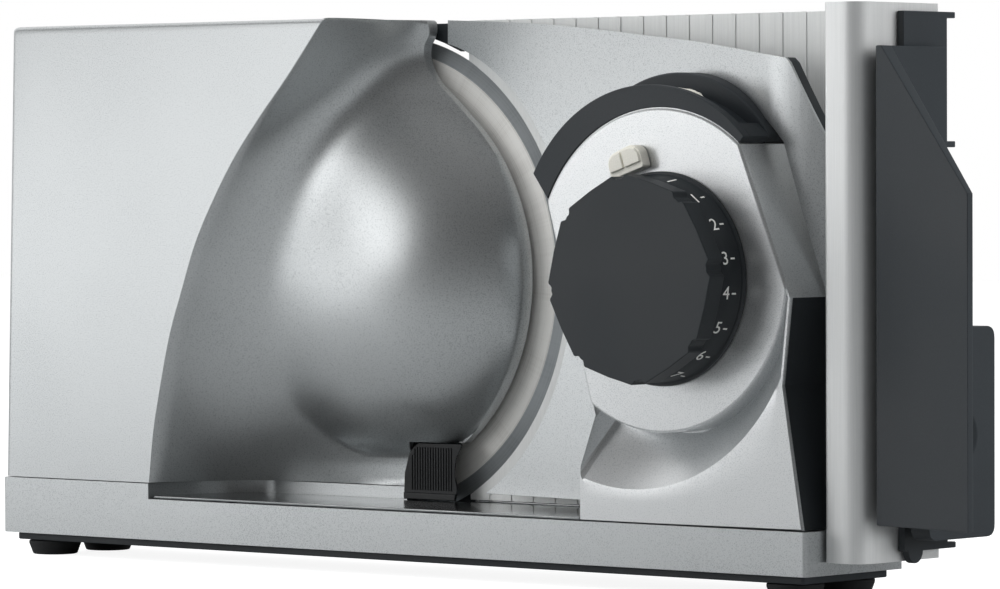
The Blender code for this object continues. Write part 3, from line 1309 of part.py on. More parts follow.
def remnant_holder(parent):
    """Hand guard and remnant holder: an upright wall with a turned-out wing, hooked on the end cover."""
    left = HOLDER_X
    right = left + HOLDER_THICK
    nose = HOLDER_FRONT_Y
    slope = WING_DROP / WING_LENGTH
    plan = [(left, HOLDER_BACK_Y), (left, nose), (left + HOLDER_THICK / 2, nose - HOLDER_THICK / 2),
            (right + WING_LENGTH, nose - WING_DROP), (right + WING_LENGTH, nose - WING_DROP + HOLDER_THICK),
            (right, nose + HOLDER_THICK + slope * HOLDER_THICK), (right, HOLDER_BACK_Y)]
    piece = plate("remnant_holder", [plan], HOLDER_FOOT_Z, HOLDER_TOP_Z)
    far = BASE_LENGTH
    diagonal = [(right + RUNNING, HOLDER_TOP_Z + OVERRUN), (right + RUNNING, HOLDER_TOP_Z),
                (right + WING_LENGTH + OVERRUN, WING_SHOULDER_Z),
                (right + WING_LENGTH + OVERRUN, HOLDER_TOP_Z + OVERRUN)]
    boolean(piece, plate("wing_cut", [diagonal], -far, far, FRONT))
    hook_left = COLUMN_LEFT + COLUMN_WIDTH + END_THICK + GAP * 2
    for i, z in enumerate((END_MIDDLE_Z, END_FOOT_Z + HOLDER_LIFT)):
        foot = z + END_TAB_THICK * 2
        low = (hook_left, HOLDER_BACK_Y - HOLDER_HOOK * 2, foot)
        high = (left + HOLDER_THICK / 2, HOLDER_BACK_Y - HOLDER_HOOK, foot + HOLDER_HOOK * 2)
        boolean(piece, block("holder_rib_%d" % i, low, high), "UNION")
    return finish(piece, BLACK, parent)


def holder_grip(parent):
    """Thick grip block on the holder's outer face, with a dished hole."""
    left = HOLDER_X + HOLDER_THICK + GAP
    right = left + GRIP_THICK
    corners = [(GRIP_FRONT_Y, GRIP_FOOT_Z), (GRIP_BACK_Y, GRIP_FOOT_Z), (GRIP_BACK_Y, GRIP_TOP_Z),
               (GRIP_FRONT_Y, GRIP_TOP_Z)]
    piece = plate("holder_grip", [rounded(corners, GRIP_CORNER, 6)], left, right, SIDE)
    place = (GRIP_HOLE_Y, GRIP_HOLE_Z)
    boolean(piece, rod("grip_hole", place, "X", left - OVERRUN, right + OVERRUN, GRIP_HOLE, 32))
    dish_floor = right - GRIP_THICK / 3
    boolean(piece, rod("grip_dish", place, "X", dish_floor, right + GAP, GRIP_HOLE, 32, GRIP_DISH))
    return finish(piece, BLACK, parent)


def carriage_rail(parent):
    """Steel rod behind the base, held by two brackets, that the carriage runs on."""
    start = RAIL_INSET + BRACKET_WIDTH + GAP
    end = BASE_LENGTH - start
    piece = rod("carriage_rail", (RAIL_Y, RAIL_Z), "X", start - BRACKET_WIDTH / 2, end + BRACKET_WIDTH / 2,
                RAIL_RADIUS, 24)
    finish(piece, STEEL, parent)
    half = BRACKET_HEIGHT / 2
    for name, low in (("left", RAIL_INSET), ("right", BASE_LENGTH - RAIL_INSET - BRACKET_WIDTH)):
        bracket = block("rail_bracket_" + name, (low, BASE_DEPTH + GAP, RAIL_Z - half),
                        (low + BRACKET_WIDTH, RAIL_Y + RAIL_RADIUS + SHEET, RAIL_Z + half))
        inner = low + BRACKET_WIDTH if name == "left" else low
        boolean(bracket, rod("rail_seat_" + name, (RAIL_Y, RAIL_Z), "X", inner - BRACKET_WIDTH / 2 - GAP,
                             inner + BRACKET_WIDTH / 2 + GAP, RAIL_RADIUS + GAP, 24))
        bevel(bracket, EDGE, 2)
        finish(bracket, BLACK, parent)


def carriage_sled(parent):
    """Sled of the carriage: a block bored for the rail, with the table's hinge lugs."""
    front = RAIL_Y - SLED_HALF_DEPTH
    back = RAIL_Y + SLED_HALF_DEPTH
    piece = block("carriage_sled", (SLED_LEFT, front, SLED_FOOT_Z), (SLED_RIGHT, back, SLED_TOP_Z))
    for i, low in enumerate((SLED_LEFT, SLED_RIGHT - HINGE_LUG)):
        foot = SLED_TOP_Z - OVERRUN
        head = HINGE_Z + HINGE_RADIUS
        near = RAIL_Y - HINGE_RADIUS
        far = RAIL_Y + HINGE_RADIUS
        corners = [(near, foot), (far, foot), (far, head), (near, head)]
        lug = rounded(corners, [0, 0, HINGE_RADIUS, HINGE_RADIUS])
        boolean(piece, plate("hinge_lug_%d" % i, [lug], low, low + HINGE_LUG, SIDE), "UNION")
    boolean(piece, rod("rail_bore", (RAIL_Y, RAIL_Z), "X", SLED_LEFT - OVERRUN, SLED_RIGHT + OVERRUN,
                       RAIL_RADIUS + GAP, 24))
    boolean(piece, rod("pin_bore", (RAIL_Y, HINGE_Z), "X", SLED_LEFT - OVERRUN, SLED_RIGHT + OVERRUN,
                       HINGE_PIN_RADIUS + GAP, 16))
    return finish(piece, BLACK, parent)


def table_hinge_pin(parent):
    """Pin through the lugs and the table's edge."""
    piece = rod("table_hinge_pin", (RAIL_Y, HINGE_Z), "X", SLED_LEFT, SLED_RIGHT, HINGE_PIN_RADIUS, 16)
    return finish(piece, STEEL, parent)


def carriage_end_wall(parent):
    """End wall of the carriage that the food leans on, with a rest for the table."""
    left = SLED_RIGHT + GAP
    right = left + END_WALL_THICK
    front = RAIL_Y - SLED_HALF_DEPTH
    back = END_WALL_BACK_Y
    outline = rounded([(front, END_WALL_FOOT_Z), (back, END_WALL_FOOT_Z), (back, END_WALL_TOP_Z),
                       (front, END_WALL_TOP_Z)], END_WALL_CORNER, 6)
    piece = plate("carriage_end_wall", [outline], left, right, SIDE)
    rest = HINGE_Z - TABLE_THICK / 2 - GAP
    rest_low = (left - FLANGE_WIDTH, RAIL_Y + SLED_HALF_DEPTH + HINGE_RADIUS, rest - FLANGE_THICK)
    rest_high = (left + END_WALL_THICK / 2, back - END_WALL_CORNER, rest)
    boolean(piece, block("table_rest", rest_low, rest_high), "UNION")
    return finish(piece, BLACK, parent)


def carriage_table(parent):
    """Food table, folded up at rest, with a barrel on the hinge pin and a raised rim."""
    left = SLED_LEFT + HINGE_LUG + GAP
    right = SLED_RIGHT - HINGE_LUG - GAP
    front = RAIL_Y - TABLE_THICK / 2
    back = RAIL_Y + TABLE_THICK / 2
    top = HINGE_Z + TABLE_REACH
    outline = rounded([(left, HINGE_Z), (right, HINGE_Z), (right, top), (left, top)],
                      [0, 0, TABLE_CORNER, TABLE_CORNER], 6)
    piece = plate("carriage_table", [outline], front, back, FRONT)
    boolean(piece, rod("hinge_barrel", (RAIL_Y, HINGE_Z), "X", left, right, HINGE_RADIUS, 24), "UNION")
    boolean(piece, rod("barrel_bore", (RAIL_Y, HINGE_Z), "X", left - OVERRUN, right + OVERRUN,
                       HINGE_PIN_RADIUS + GAP, 16))
    low = (left + TABLE_CORNER, front - TABLE_LIP, top - TABLE_LIP)
    high = (right - TABLE_CORNER, front + TABLE_THICK / 2, top - GAP)
    boolean(piece, block("table_rim", low, high), "UNION")
    return finish(piece, ANODISED, parent)


def build():
    """Build every piece on the empty of its body."""
    root = empty("slicer", (0, 0, 0), None)
    middle = ((OVERALL_LEFT + OVERALL_RIGHT) / 2, (OVERALL_FRONT + OVERALL_BACK) / 2)
    root.location = (-middle[0], -middle[1], 0)
    blade_axis = empty("blade_axis", (BLADE_X, BLADE_BACK_Y, BLADE_Z), root)
    motor_axis = empty("motor_axis", (MOTOR_START_X, DRIVE_Y, worm_height()), root)
    dial_axis = empty("dial_axis", (KNOB_X, DIAL_FACE_Y, KNOB_Z), root)
    switch_axis = empty("switch_axis", (DISC_X, DIAL_FACE_Y, DISC_Z), root)
    stop_slide = empty("stop_slide", (COLUMN_LEFT, STOP_BACK_Y, STOP_FOOT_Z), root)
    holder_seat = empty("holder_seat", (HOLDER_X, END_BACK_Y, END_MIDDLE_Z), stop_slide)
    carriage = empty("carriage", (SLED_LEFT, RAIL_Y, RAIL_Z), root)
    table_axis = empty("table_axis", (SLED_LEFT, RAIL_Y, HINGE_Z), carriage)
    for maker in (base_casting, underpan, feet, slice_tray, motor_housing, blade_guard, gear_bulkhead,
                  back_cover, cord_inlet, blade_bush, motor_can, dial_housing, switch_cap, thickness_pointer,
                  guide_rods, carriage_rail):
        maker(root)
    for maker in (blade, blade_cap, blade_shaft, worm_wheel):
        maker(blade_axis)
    for maker in (motor_shaft, motor_fan):
        maker(motor_axis)
    for maker in (knob, knob_spindle):
        maker(dial_axis)
    switch_slider(switch_axis)
    for maker in (stop_plate, stop_plate_cover, stop_carrier, spindle_nut, stop_end_cover):
        maker(stop_slide)
    for maker in (remnant_holder, holder_grip):
        maker(holder_seat)
    for maker in (carriage_sled, table_hinge_pin, carriage_end_wall):
        maker(carriage)
    carriage_table(table_axis)


build()
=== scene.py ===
"""Electric food slicer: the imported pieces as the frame, dressed with fine shapes and real finishes."""

import json
import math

import bpy
from mathutils import Matrix, Vector

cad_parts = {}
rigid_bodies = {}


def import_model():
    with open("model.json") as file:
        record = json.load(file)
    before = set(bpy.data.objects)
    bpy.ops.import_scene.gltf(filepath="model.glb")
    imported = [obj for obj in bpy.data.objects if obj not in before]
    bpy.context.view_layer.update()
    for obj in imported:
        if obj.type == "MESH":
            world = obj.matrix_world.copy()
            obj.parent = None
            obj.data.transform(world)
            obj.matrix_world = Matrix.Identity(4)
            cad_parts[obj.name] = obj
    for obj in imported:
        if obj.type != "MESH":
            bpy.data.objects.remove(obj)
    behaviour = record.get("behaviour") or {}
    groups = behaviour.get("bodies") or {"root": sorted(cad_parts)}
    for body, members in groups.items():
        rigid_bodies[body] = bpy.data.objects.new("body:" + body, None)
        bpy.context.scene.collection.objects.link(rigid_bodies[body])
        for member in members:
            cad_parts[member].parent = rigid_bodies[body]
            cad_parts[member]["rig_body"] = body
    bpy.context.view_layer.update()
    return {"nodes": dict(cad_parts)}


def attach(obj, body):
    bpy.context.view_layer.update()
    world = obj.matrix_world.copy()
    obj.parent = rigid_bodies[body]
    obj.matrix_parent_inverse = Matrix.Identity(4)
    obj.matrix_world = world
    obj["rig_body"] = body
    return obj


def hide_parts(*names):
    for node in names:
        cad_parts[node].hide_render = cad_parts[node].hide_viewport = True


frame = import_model()
NODES = frame["nodes"]
MM = 0.001

# Sizes and places in millimetres: x right along the base's front, y back from its face, z up from the table

MIDDLE_X = 216.95
MIDDLE_Y = 29.5
BLADE_X, BLADE_Y, BLADE_Z = 143, 50, 101.6


def place(x, y, z):
    """A point of the base's own corner frame, in millimetres, as a point of the row frame."""
    return Vector(((x - MIDDLE_X) * MM, (y - MIDDLE_Y) * MM, z * MM))


def alone(piece=None):
    """Deselect everything, then select one piece and make it active."""
    if bpy.context.object is not None and bpy.context.object.mode != "OBJECT":
        bpy.ops.object.mode_set(mode="OBJECT")
    bpy.ops.object.select_all(action="DESELECT")
    if piece is not None:
        piece.select_set(True)
        bpy.context.view_layer.objects.active = piece


# Finishes

def paint_value(hex_colour):
    """An sRGB hex colour as linear values with full alpha."""
    parts = [int(hex_colour[i:i + 2], 16) / 255 for i in (1, 3, 5)]
    return tuple(v / 12.92 if v <= 0.04045 else ((v + 0.055) / 1.055) ** 2.4 for v in parts) + (1,)


def add(tree, kind, settings=None, links=None):
    """Add one node with its settings and the links that end in it; stops are (position, hex colour)."""
    node = tree.nodes.new(kind)
    for key, value in (settings or {}).items():
        if key == "stops":
            band = node.color_ramp.elements
            while len(band) < len(value):
                band.new(0.5)
            for element, (position, colour) in zip(band, value):
                element.position = position
                element.color = paint_value(colour)
        elif isinstance(key, str) and hasattr(node, key):
            setattr(node, key, value)
        else:
            node.inputs[key].default_value = value
    for socket, source in (links or {}).items():
        tree.links.new(source, node.inputs[socket])
    return node


def blank(name, settings):
    """A new material with its shader's constants set; returns it, its tree, shader and coordinates."""
    made = bpy.data.materials.new(name)
    made.use_nodes = True
    tree = made.node_tree
    shader = tree.nodes["Principled BSDF"]
    for socket, value in settings.items():
        shader.inputs[socket].default_value = value
    spot = add(tree, "ShaderNodeTexCoord")
    return made, tree, shader, spot.outputs["Object"]


def lumps(size_mm):
    """Scale of a noise whose lumps are about size_mm across."""
    return 1 / (size_mm * MM)


def coat(tree, shader, tone, relief):
    """Give a finish its colour and its relief."""
    tree.links.new(tone.outputs["Color"], shader.inputs["Base Color"])
    tree.links.new(relief.outputs["Normal"], shader.inputs["Normal"])


def silver_paint(name, light, dark, roughness, metallic):
    """Fine metallic silver lacquer on a casting: aluminium flakes half a millimetre apart, drawn as
    coarse as they need to show, over a soft cloudiness of the sprayed coat."""
    made, tree, shader, spot = blank(name, {"Metallic": metallic, "Roughness": roughness})
    flakes = add(tree, "ShaderNodeTexNoise", {"Scale": lumps(0.42), "Detail": 3, "Roughness": 0.65},
                 {"Vector": spot})
    clouds = add(tree, "ShaderNodeTexNoise", {"Scale": lumps(60), "Detail": 1, "Roughness": 0.5},
                 {"Vector": spot})
    mixed = add(tree, "ShaderNodeMath", {"operation": "MULTIPLY_ADD", 1: 0.12},
                {0: clouds.outputs["Fac"], 2: flakes.outputs["Fac"]})
    tone = add(tree, "ShaderNodeValToRGB", {"stops": [(0.3, dark), (0.56, light), (0.8, light)]},
               {"Fac": mixed.outputs[0]})
    relief = add(tree, "ShaderNodeBump", {"Strength": 0.18, "Distance": 0.05 * MM},
                 {"Height": flakes.outputs["Fac"]})
    coat(tree, shader, tone, relief)
    return made


def cast_plastic(name, light, dark, roughness, grain_mm=0.35, strength=0.25):
    """Moulded plastic or rubber from an eroded tool: an even matt grain, a touch greyer where it is
    proud, and a little duller in wide patches."""
    made, tree, shader, spot = blank(name, {"Metallic": 0.0, "Roughness": roughness, "IOR": 1.5})
    fine = add(tree, "ShaderNodeTexNoise", {"Scale": lumps(grain_mm), "Detail": 3, "Roughness": 0.6},
               {"Vector": spot})
    wide = add(tree, "ShaderNodeTexNoise", {"Scale": lumps(45), "Detail": 2, "Roughness": 0.5},
               {"Vector": spot})
    mixed = add(tree, "ShaderNodeMath", {"operation": "MULTIPLY_ADD", 1: 0.5},
                {0: wide.outputs["Fac"], 2: fine.outputs["Fac"]})
    tone = add(tree, "ShaderNodeValToRGB", {"stops": [(0.45, dark), (1.0, light)]}, {"Fac": mixed.outputs[0]})
    worn = add(tree, "ShaderNodeMapRange", {"From Min": 0.3, "From Max": 0.7, "To Min": roughness - 0.06,
                                            "To Max": roughness + 0.06}, {"Value": wide.outputs["Fac"]})
    tree.links.new(worn.outputs["Result"], shader.inputs["Roughness"])
    relief = add(tree, "ShaderNodeBump", {"Strength": strength, "Distance": 0.04 * MM},
                 {"Height": fine.outputs["Fac"]})
    coat(tree, shader, tone, relief)
    return made


def anodised(name, light, dark, roughness, metallic):
    """Satin anodised aluminium extrusion: fine die lines along its length and a silky sheen."""
    made, tree, shader, spot = blank(name, {"Metallic": metallic, "Roughness": roughness})
    stretched = add(tree, "ShaderNodeMapping", {"Scale": (1, 1, 0.012)}, {"Vector": spot})
    lines = add(tree, "ShaderNodeTexNoise", {"Scale": lumps(0.5), "Detail": 3, "Roughness": 0.6},
                {"Vector": stretched.outputs["Vector"]})
    fine = add(tree, "ShaderNodeTexNoise", {"Scale": lumps(0.25), "Detail": 2, "Roughness": 0.5},
               {"Vector": spot})
    mixed = add(tree, "ShaderNodeMath", {"operation": "MULTIPLY_ADD", 1: 0.35},
                {0: fine.outputs["Fac"], 2: lines.outputs["Fac"]})
    tone = add(tree, "ShaderNodeValToRGB", {"stops": [(0.3, dark), (0.95, light)]}, {"Fac": mixed.outputs[0]})
    relief = add(tree, "ShaderNodeBump", {"Strength": 0.12, "Distance": 0.03 * MM},
                 {"Height": lines.outputs["Fac"]})
    coat(tree, shader, tone, relief)
    return made


def turned_metal(name, centre, light, dark, roughness, ring_mm, metallic=1.0):
    """Steel or aluminium ground or turned on a lathe: fine rings round the axis, slow bright fans of painted
    sheen and fine scratches across them."""
    made, tree, shader, spot = blank(name, {"Metallic": metallic, "Roughness": roughness})
    local = add(tree, "ShaderNodeMapping", {"Location": tuple(-v for v in centre)}, {"Vector": spot})
    flat = add(tree, "ShaderNodeVectorMath", {"operation": "MULTIPLY", 1: (1, 0, 1)},
               {0: local.outputs["Vector"]})
    radius = add(tree, "ShaderNodeVectorMath", {"operation": "LENGTH"}, {0: flat.outputs["Vector"]})
    rings = add(tree, "ShaderNodeTexNoise", {"noise_dimensions": "1D", "Scale": lumps(ring_mm), "Detail": 3,
                                             "Roughness": 0.6}, {"W": radius.outputs["Value"]})
    heading = add(tree, "ShaderNodeVectorMath", {"operation": "NORMALIZE"}, {0: flat.outputs["Vector"]})
    # Slow bright fans round the axis: a painted sheen, colour standing in for the turned metal's reflection
    painted_sheen_fans = add(tree, "ShaderNodeTexNoise", {"Scale": 9, "Detail": 2, "Roughness": 0.5},
               {"Vector": heading.outputs["Vector"]})
    scratches = add(tree, "ShaderNodeTexNoise", {"Scale": 90, "Detail": 2, "Roughness": 0.6},
                    {"Vector": heading.outputs["Vector"]})
    both = add(tree, "ShaderNodeMath", {"operation": "MULTIPLY_ADD", 1: 0.6},
               {0: painted_sheen_fans.outputs["Fac"], 2: rings.outputs["Fac"]})
    all_three = add(tree, "ShaderNodeMath", {"operation": "MULTIPLY_ADD", 1: 0.35},
                    {0: scratches.outputs["Fac"], 2: both.outputs[0]})
    tone = add(tree, "ShaderNodeValToRGB", {"stops": [(0.55, dark), (1.3, light)]},
               {"Fac": all_three.outputs[0]})
    relief = add(tree, "ShaderNodeBump", {"Strength": 0.1, "Distance": 0.02 * MM},
                 {"Height": rings.outputs["Fac"]})
    coat(tree, shader, tone, relief)
    return made


def brushed_metal(name, light, dark, roughness, stretch):
    """Metal sheet or rod brushed one way: fine lines along it, long where stretch is small."""
    made, tree, shader, spot = blank(name, {"Metallic": 1.0, "Roughness": roughness})
    along = add(tree, "ShaderNodeMapping", {"Scale": stretch}, {"Vector": spot})
    lines = add(tree, "ShaderNodeTexNoise", {"Scale": lumps(0.35), "Detail": 3, "Roughness": 0.6},
                {"Vector": along.outputs["Vector"]})
    tone = add(tree, "ShaderNodeValToRGB", {"stops": [(0.3, dark), (0.7, light)]},
               {"Fac": lines.outputs["Fac"]})
    relief = add(tree, "ShaderNodeBump", {"Strength": 0.08, "Distance": 0.02 * MM},
                 {"Height": lines.outputs["Fac"]})
    coat(tree, shader, tone, relief)
    return made


BLADE_CENTRE = place(BLADE_X, BLADE_Y, BLADE_Z)

# The last number of the lacquers, of the anodised finishes and of the two ground steels is their metallic
# share. It is below a bare metal's, most of all on the blade, to match how pale the photograph shows them.
# The gloss black's specular level is below a plastic's usual 0.5, to match how dark its face is.

SILVER = silver_paint("silver_lacquer", "#D2D5D6", "#9A9FA2", 0.34, 0.91)
# A lighter copy of the silver lacquer for the dial housing and its seam: painted light, lifting them to the
# brightness they show
SILVER_PAINTED_LIGHTER = silver_paint("silver_lacquer_painted_lighter", "#E2E4E5", "#B4B9BB", 0.32, 0.86)
COLUMN = anodised("anodised_aluminium", "#F0F1F1", "#E2E4E4", 0.42, 0.62)
WEB = anodised("satin_anodised_web", "#E6E8E7", "#D8DADA", 0.45, 0.4)
BLADE = turned_metal("ground_stainless_steel", BLADE_CENTRE, "#FBFAF6", "#E4E2DD", 0.5, 0.5, 0.12)
BEVEL_STEEL = turned_metal("fine_ground_bevel", BLADE_CENTRE, "#BDC2C5", "#A3A9AD", 0.42, 0.3, 0.6)
CAP_METAL = turned_metal("turned_aluminium", BLADE_CENTRE, "#DADBDB", "#A5A8A9", 0.32, 0.7)
TRAY = brushed_metal("polished_stainless_sheet", "#B4B6B6", "#7E8284", 0.16, (0.02, 1, 1))
ROD_STEEL = brushed_metal("ground_steel_rod", "#C9CACA", "#8C9092", 0.25, (0.02, 1, 1))
BRASS = brushed_metal("turned_brass", "#D6B46C", "#A98A48", 0.3, (1, 0.02, 1))
ANTHRACITE = cast_plastic("anthracite_abs", "#2F3438", "#22262A", 0.52)
DARK_GRIP = cast_plastic("dark_grip_plastic", "#292E32", "#1F2326", 0.5, 0.3, 0.18)
SMOKE_GLOSS = cast_plastic("gloss_black_abs", "#15181B", "#0D0F11", 0.26, 1.2, 0.04)
SMOKE_GLOSS.node_tree.nodes["Principled BSDF"].inputs["Specular IOR Level"].default_value = 0.3
CREAM = cast_plastic("cream_abs", "#F2F0E6", "#E4E2D8", 0.4, 0.5, 0.06)
PRINT = cast_plastic("white_print", "#FAFAF7", "#EEEEEA", 0.5, 0.5, 0.02)
RUBBER = cast_plastic("black_rubber", "#2B2C2D", "#1D1E1F", 0.82, 0.3, 0.3)
NYLON = cast_plastic("white_nylon", "#E6E3DA", "#D5D2C8", 0.5)


# Steps that the pieces share

def settle(piece, finish, slot_name, body, *nodes):
    """Give a piece its finish, let it ride on its body and stand for its nodes; the slot name is not used."""
    piece.data.materials.clear()
    piece.data.materials.append(finish)
    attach(piece, body)
    if nodes:
        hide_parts(*nodes)
    return piece


def from_grid(name, columns, rows, points):
    """A grid primitive whose corners are put in place one by one: points[row][column]."""
    alone()
    bpy.ops.mesh.primitive_grid_add(x_subdivisions=columns - 1, y_subdivisions=rows - 1, size=2)
    piece = bpy.context.object
    piece.name = name
    piece.data.name = name
    for vert in piece.data.vertices:
        i = round((vert.co.x + 1) / 2 * (columns - 1))
        j = round((vert.co.y + 1) / 2 * (rows - 1))
        vert.co = points[j][i]
    piece.location = (0, 0, 0)
    return piece


def box_piece(name, low, high):
    """A box between two corners, to be bevelled or laid on a surface."""
    alone()
    first, last = place(*low), place(*high)
    bpy.ops.mesh.primitive_cube_add(size=1, location=(0, 0, 0))
    piece = bpy.context.object
    piece.name = name
    for vert in piece.data.vertices:
        for axis in range(3):
            vert.co[axis] = last[axis] if vert.co[axis] > 0 else first[axis]
    return piece


def slab(name, outline, near, far, way="front"):
    """A filled circle drawn out to an outline, then extruded: back from the front, or up from a plan."""
    alone()
    bpy.ops.mesh.primitive_circle_add(vertices=len(outline), radius=1, fill_type="NGON", location=(0, 0, 0))
    piece = bpy.context.object
    piece.name = name
    for vert, (u, v) in zip(piece.data.vertices, outline):
        vert.co = place(u, near, v) if way == "front" else place(u, v, near)
    bpy.ops.object.mode_set(mode="EDIT")
    bpy.ops.mesh.select_all(action="SELECT")
    move = (0, (far - near) * MM, 0) if way == "front" else (0, 0, (far - near) * MM)
    bpy.ops.mesh.extrude_region_move(TRANSFORM_OT_translate={"value": move})
    bpy.ops.mesh.select_all(action="SELECT")
    bpy.ops.mesh.normals_make_consistent(inside=False)
    bpy.ops.object.mode_set(mode="OBJECT")
    return piece


def turned(name, profile, centre, steps):
    """A profile of (radius, depth) pairs carried round an axis that runs from front to back."""
    rows = []
    for radius, depth in profile:
        turns = [2 * math.pi * i / steps for i in range(steps + 1)]
        rows.append([place(centre[0] + radius * math.cos(turn), depth, centre[1] + radius * math.sin(turn))
                     for turn in turns])
    piece = from_grid(name, steps + 1, len(rows), rows)
    close_up(piece)
    return piece


def close_up(piece, merge=0.01):
    """Merge what lies on itself and turn the faces outwards."""
    alone(piece)
    bpy.ops.object.mode_set(mode="EDIT")
    bpy.ops.mesh.select_all(action="SELECT")
    bpy.ops.mesh.remove_doubles(threshold=merge * MM)
    bpy.ops.mesh.normals_make_consistent(inside=False)
    bpy.ops.object.mode_set(mode="OBJECT")


def give_wall(skin, thickness):
    """Turn an open skin's faces to the front and give it a wall behind them."""
    close_up(skin, 0.02)
    if sum(face.normal.y * face.area for face in skin.data.polygons) > 0:
        skin.data.flip_normals()
    wall = skin.modifiers.new("wall", "SOLIDIFY")
    wall.thickness = thickness * MM
    wall.offset = -1
    bpy.ops.object.modifier_apply(modifier=wall.name)


def cut_away(piece, cutter, crosses_itself=False):
    """Take a cutter's shape out of a piece and remove the cutter."""
    alone(piece)
    step = piece.modifiers.new("cut", "BOOLEAN")
    step.operation = "DIFFERENCE"
    step.solver = "EXACT"
    step.use_self = crosses_itself
    step.object = cutter
    bpy.ops.object.modifier_apply(modifier=step.name)
    bpy.data.objects.remove(cutter, do_unlink=True)


def soften(piece, width, segments=3, angle=30, soft=35):
    """Round a piece's sharp edges and shade it."""
    alone(piece)
    if width:
        step = piece.modifiers.new("rounded edges", "BEVEL")
        step.width = width * MM
        step.segments = segments
        step.limit_method = "ANGLE"
        step.angle_limit = math.radians(angle)
        bpy.ops.object.modifier_apply(modifier=step.name)
    bpy.ops.object.shade_smooth_by_angle(angle=math.radians(soft))
    if width:
        weights = piece.modifiers.new("even shading", "WEIGHTED_NORMAL")
        weights.keep_sharp = True
        bpy.ops.object.modifier_apply(modifier=weights.name)
    return piece


def joined(first, *others):
    """Several bodies as one piece."""
    alone(first)
    for other in others:
        other.select_set(True)
    bpy.ops.object.join()
    return first


def arc(x, z, radius, start, end, count):
    """Points along an arc, angles in degrees."""
    points = []
    for i in range(count + 1):
        turn = math.radians(start + (end - start) * i / count)
        points.append((x + radius * math.cos(turn), z + radius * math.sin(turn)))
    return points


def eased(node, finish, slot_name, width):
    """Copy a node's solid, join its triangles, ease its sharp edges and shade it, in the node's place."""
    source = NODES[node]
    piece = bpy.data.objects.new("fine_" + node, source.data.copy())
    bpy.context.scene.collection.objects.link(piece)
    alone(piece)
    bpy.ops.object.mode_set(mode="EDIT")
    bpy.ops.mesh.select_all(action="SELECT")
    bpy.ops.mesh.remove_doubles(threshold=0.004 * MM)
    bpy.ops.mesh.dissolve_limited(angle_limit=math.radians(0.6))
    bpy.ops.object.mode_set(mode="OBJECT")
    soften(piece, width, 2, 34, 32)
    return settle(piece, finish, slot_name, source["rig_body"], node)


# Motor housing: the flat face, the crease, the bowl and the dome

PLINTH, TOP, BACK, FACE = 28.3, 191.5, 46.5, 0.5
LINES_FROM = 28
SHELL_RADIUS = 71.7
SHELL_LOW, SHELL_HIGH = 0.92, 0.78
NECK_X = 168.5
DOME_X, DOME_Z, DOME_LIFT = 161, 98, 29
HOUSING_LEAN = 4.5
HOUSING_CORNER = 3
CREASE_ROUND = 1.2
DOME_BLEND = 11
TOP_ROUND = 1.6
HOUSING_WALL = 1.4
GUARD_POCKET = [(159.6, 20), (190, 20), (190, 44.1), (165.4, 44.1), (162.1, 39.8), (160, 33)]

# Each line is a list of (share of the way, value): up the housing for the first four, round the dome's
# middle for the last

CREASE_LINE = [(0, 73.8), (0.115, 76.2), (0.205, 79.4), (0.325, 84.5), (0.42, 90.4), (0.526, 97.5),
               (0.62, 106.5), (0.713, 117.2), (0.8, 129.7), (0.88, 142.2), (1, 159.3)]
NECK_LINE = [(0, 1), (0.2, 0.6), (0.36, 0.26), (0.55, 0.03), (0.72, 0), (0.86, 0.13), (1, 0.13)]
BOWL_LINE = [(0, 0.95), (0.13, 0.74), (0.3, 0.5), (0.47, 0.42), (0.7, 0.46), (0.88, 0.72), (1, 0.97)]
TURN_LINE = [(0, 12), (0.45, 13), (0.75, 10), (1, 4.5)]
DOME_LINE = [(0, 1), (0.125, 1), (0.25, 0.88), (0.375, 0.76), (0.5, 0.7), (0.62, 0.79), (0.7, 0.85),
             (0.76, 0.89), (0.82, 0.98), (0.87, 1), (1, 1)]


def smooth_line(table, share):
    """A value from a table of (share, value) pairs, along a smooth curve through them."""
    share = min(1.0, max(0.0, share))
    for i in range(len(table) - 1):
        if share <= table[i + 1][0]:
            break
    x0, y0 = table[i]
    x1, y1 = table[i + 1]
    xa, ya = table[max(0, i - 1)]
    xb, yb = table[min(len(table) - 1, i + 2)]
    first = (y1 - ya) / (x1 - xa)
    last = (yb - y0) / (xb - x0)
    t = (share - x0) / (x1 - x0)
    span = x1 - x0
    return ((2 * t ** 3 - 3 * t ** 2 + 1) * y0 + (t ** 3 - 2 * t ** 2 + t) * span * first
            + (-2 * t ** 3 + 3 * t ** 2) * y1 + (t ** 3 - t ** 2) * span * last)


def height_share(z):
    """How far up the housing a height lies."""
    return (z - LINES_FROM) / (TOP - LINES_FROM)


def crease_x(z):
    """Where the flat face ends at a height."""
    return smooth_line(CREASE_LINE, height_share(z))


def right_x(z):
    """Where the moulded front ends at a height: the blade's cover, then the neck above it."""
    if z < BLADE_Z - SHELL_RADIUS * SHELL_LOW:
        return BLADE_X + SHELL_RADIUS * math.sqrt(1 - SHELL_LOW ** 2)
    neck = BLADE_Z + SHELL_RADIUS * SHELL_HIGH
    if z <= neck:
        return BLADE_X + math.sqrt(SHELL_RADIUS ** 2 - (z - BLADE_Z) ** 2)
    start = BLADE_X + SHELL_RADIUS * math.sqrt(1 - SHELL_HIGH ** 2)
    return NECK_X + (start - NECK_X) * smooth_line(NECK_LINE, (z - neck) / (TOP - neck))


def dome_share(x, z):
    """How far from the dome's middle a place lies, as a share of the way to the dome's rim."""
    away_x, away_z = x - DOME_X, z - DOME_Z
    distance = math.hypot(away_x, away_z)
    if distance < 0.001:
        return 0.0
    turn = math.atan2(away_z, away_x) % (2 * math.pi)
    aside_x, aside_z = DOME_X - BLADE_X, DOME_Z - BLADE_Z
    along = (aside_x * away_x + aside_z * away_z) / distance
    rim = math.sqrt(along ** 2 + SHELL_RADIUS ** 2 - aside_x ** 2 - aside_z ** 2) - along
    return distance / (rim * smooth_line(DOME_LINE, turn / (2 * math.pi)))


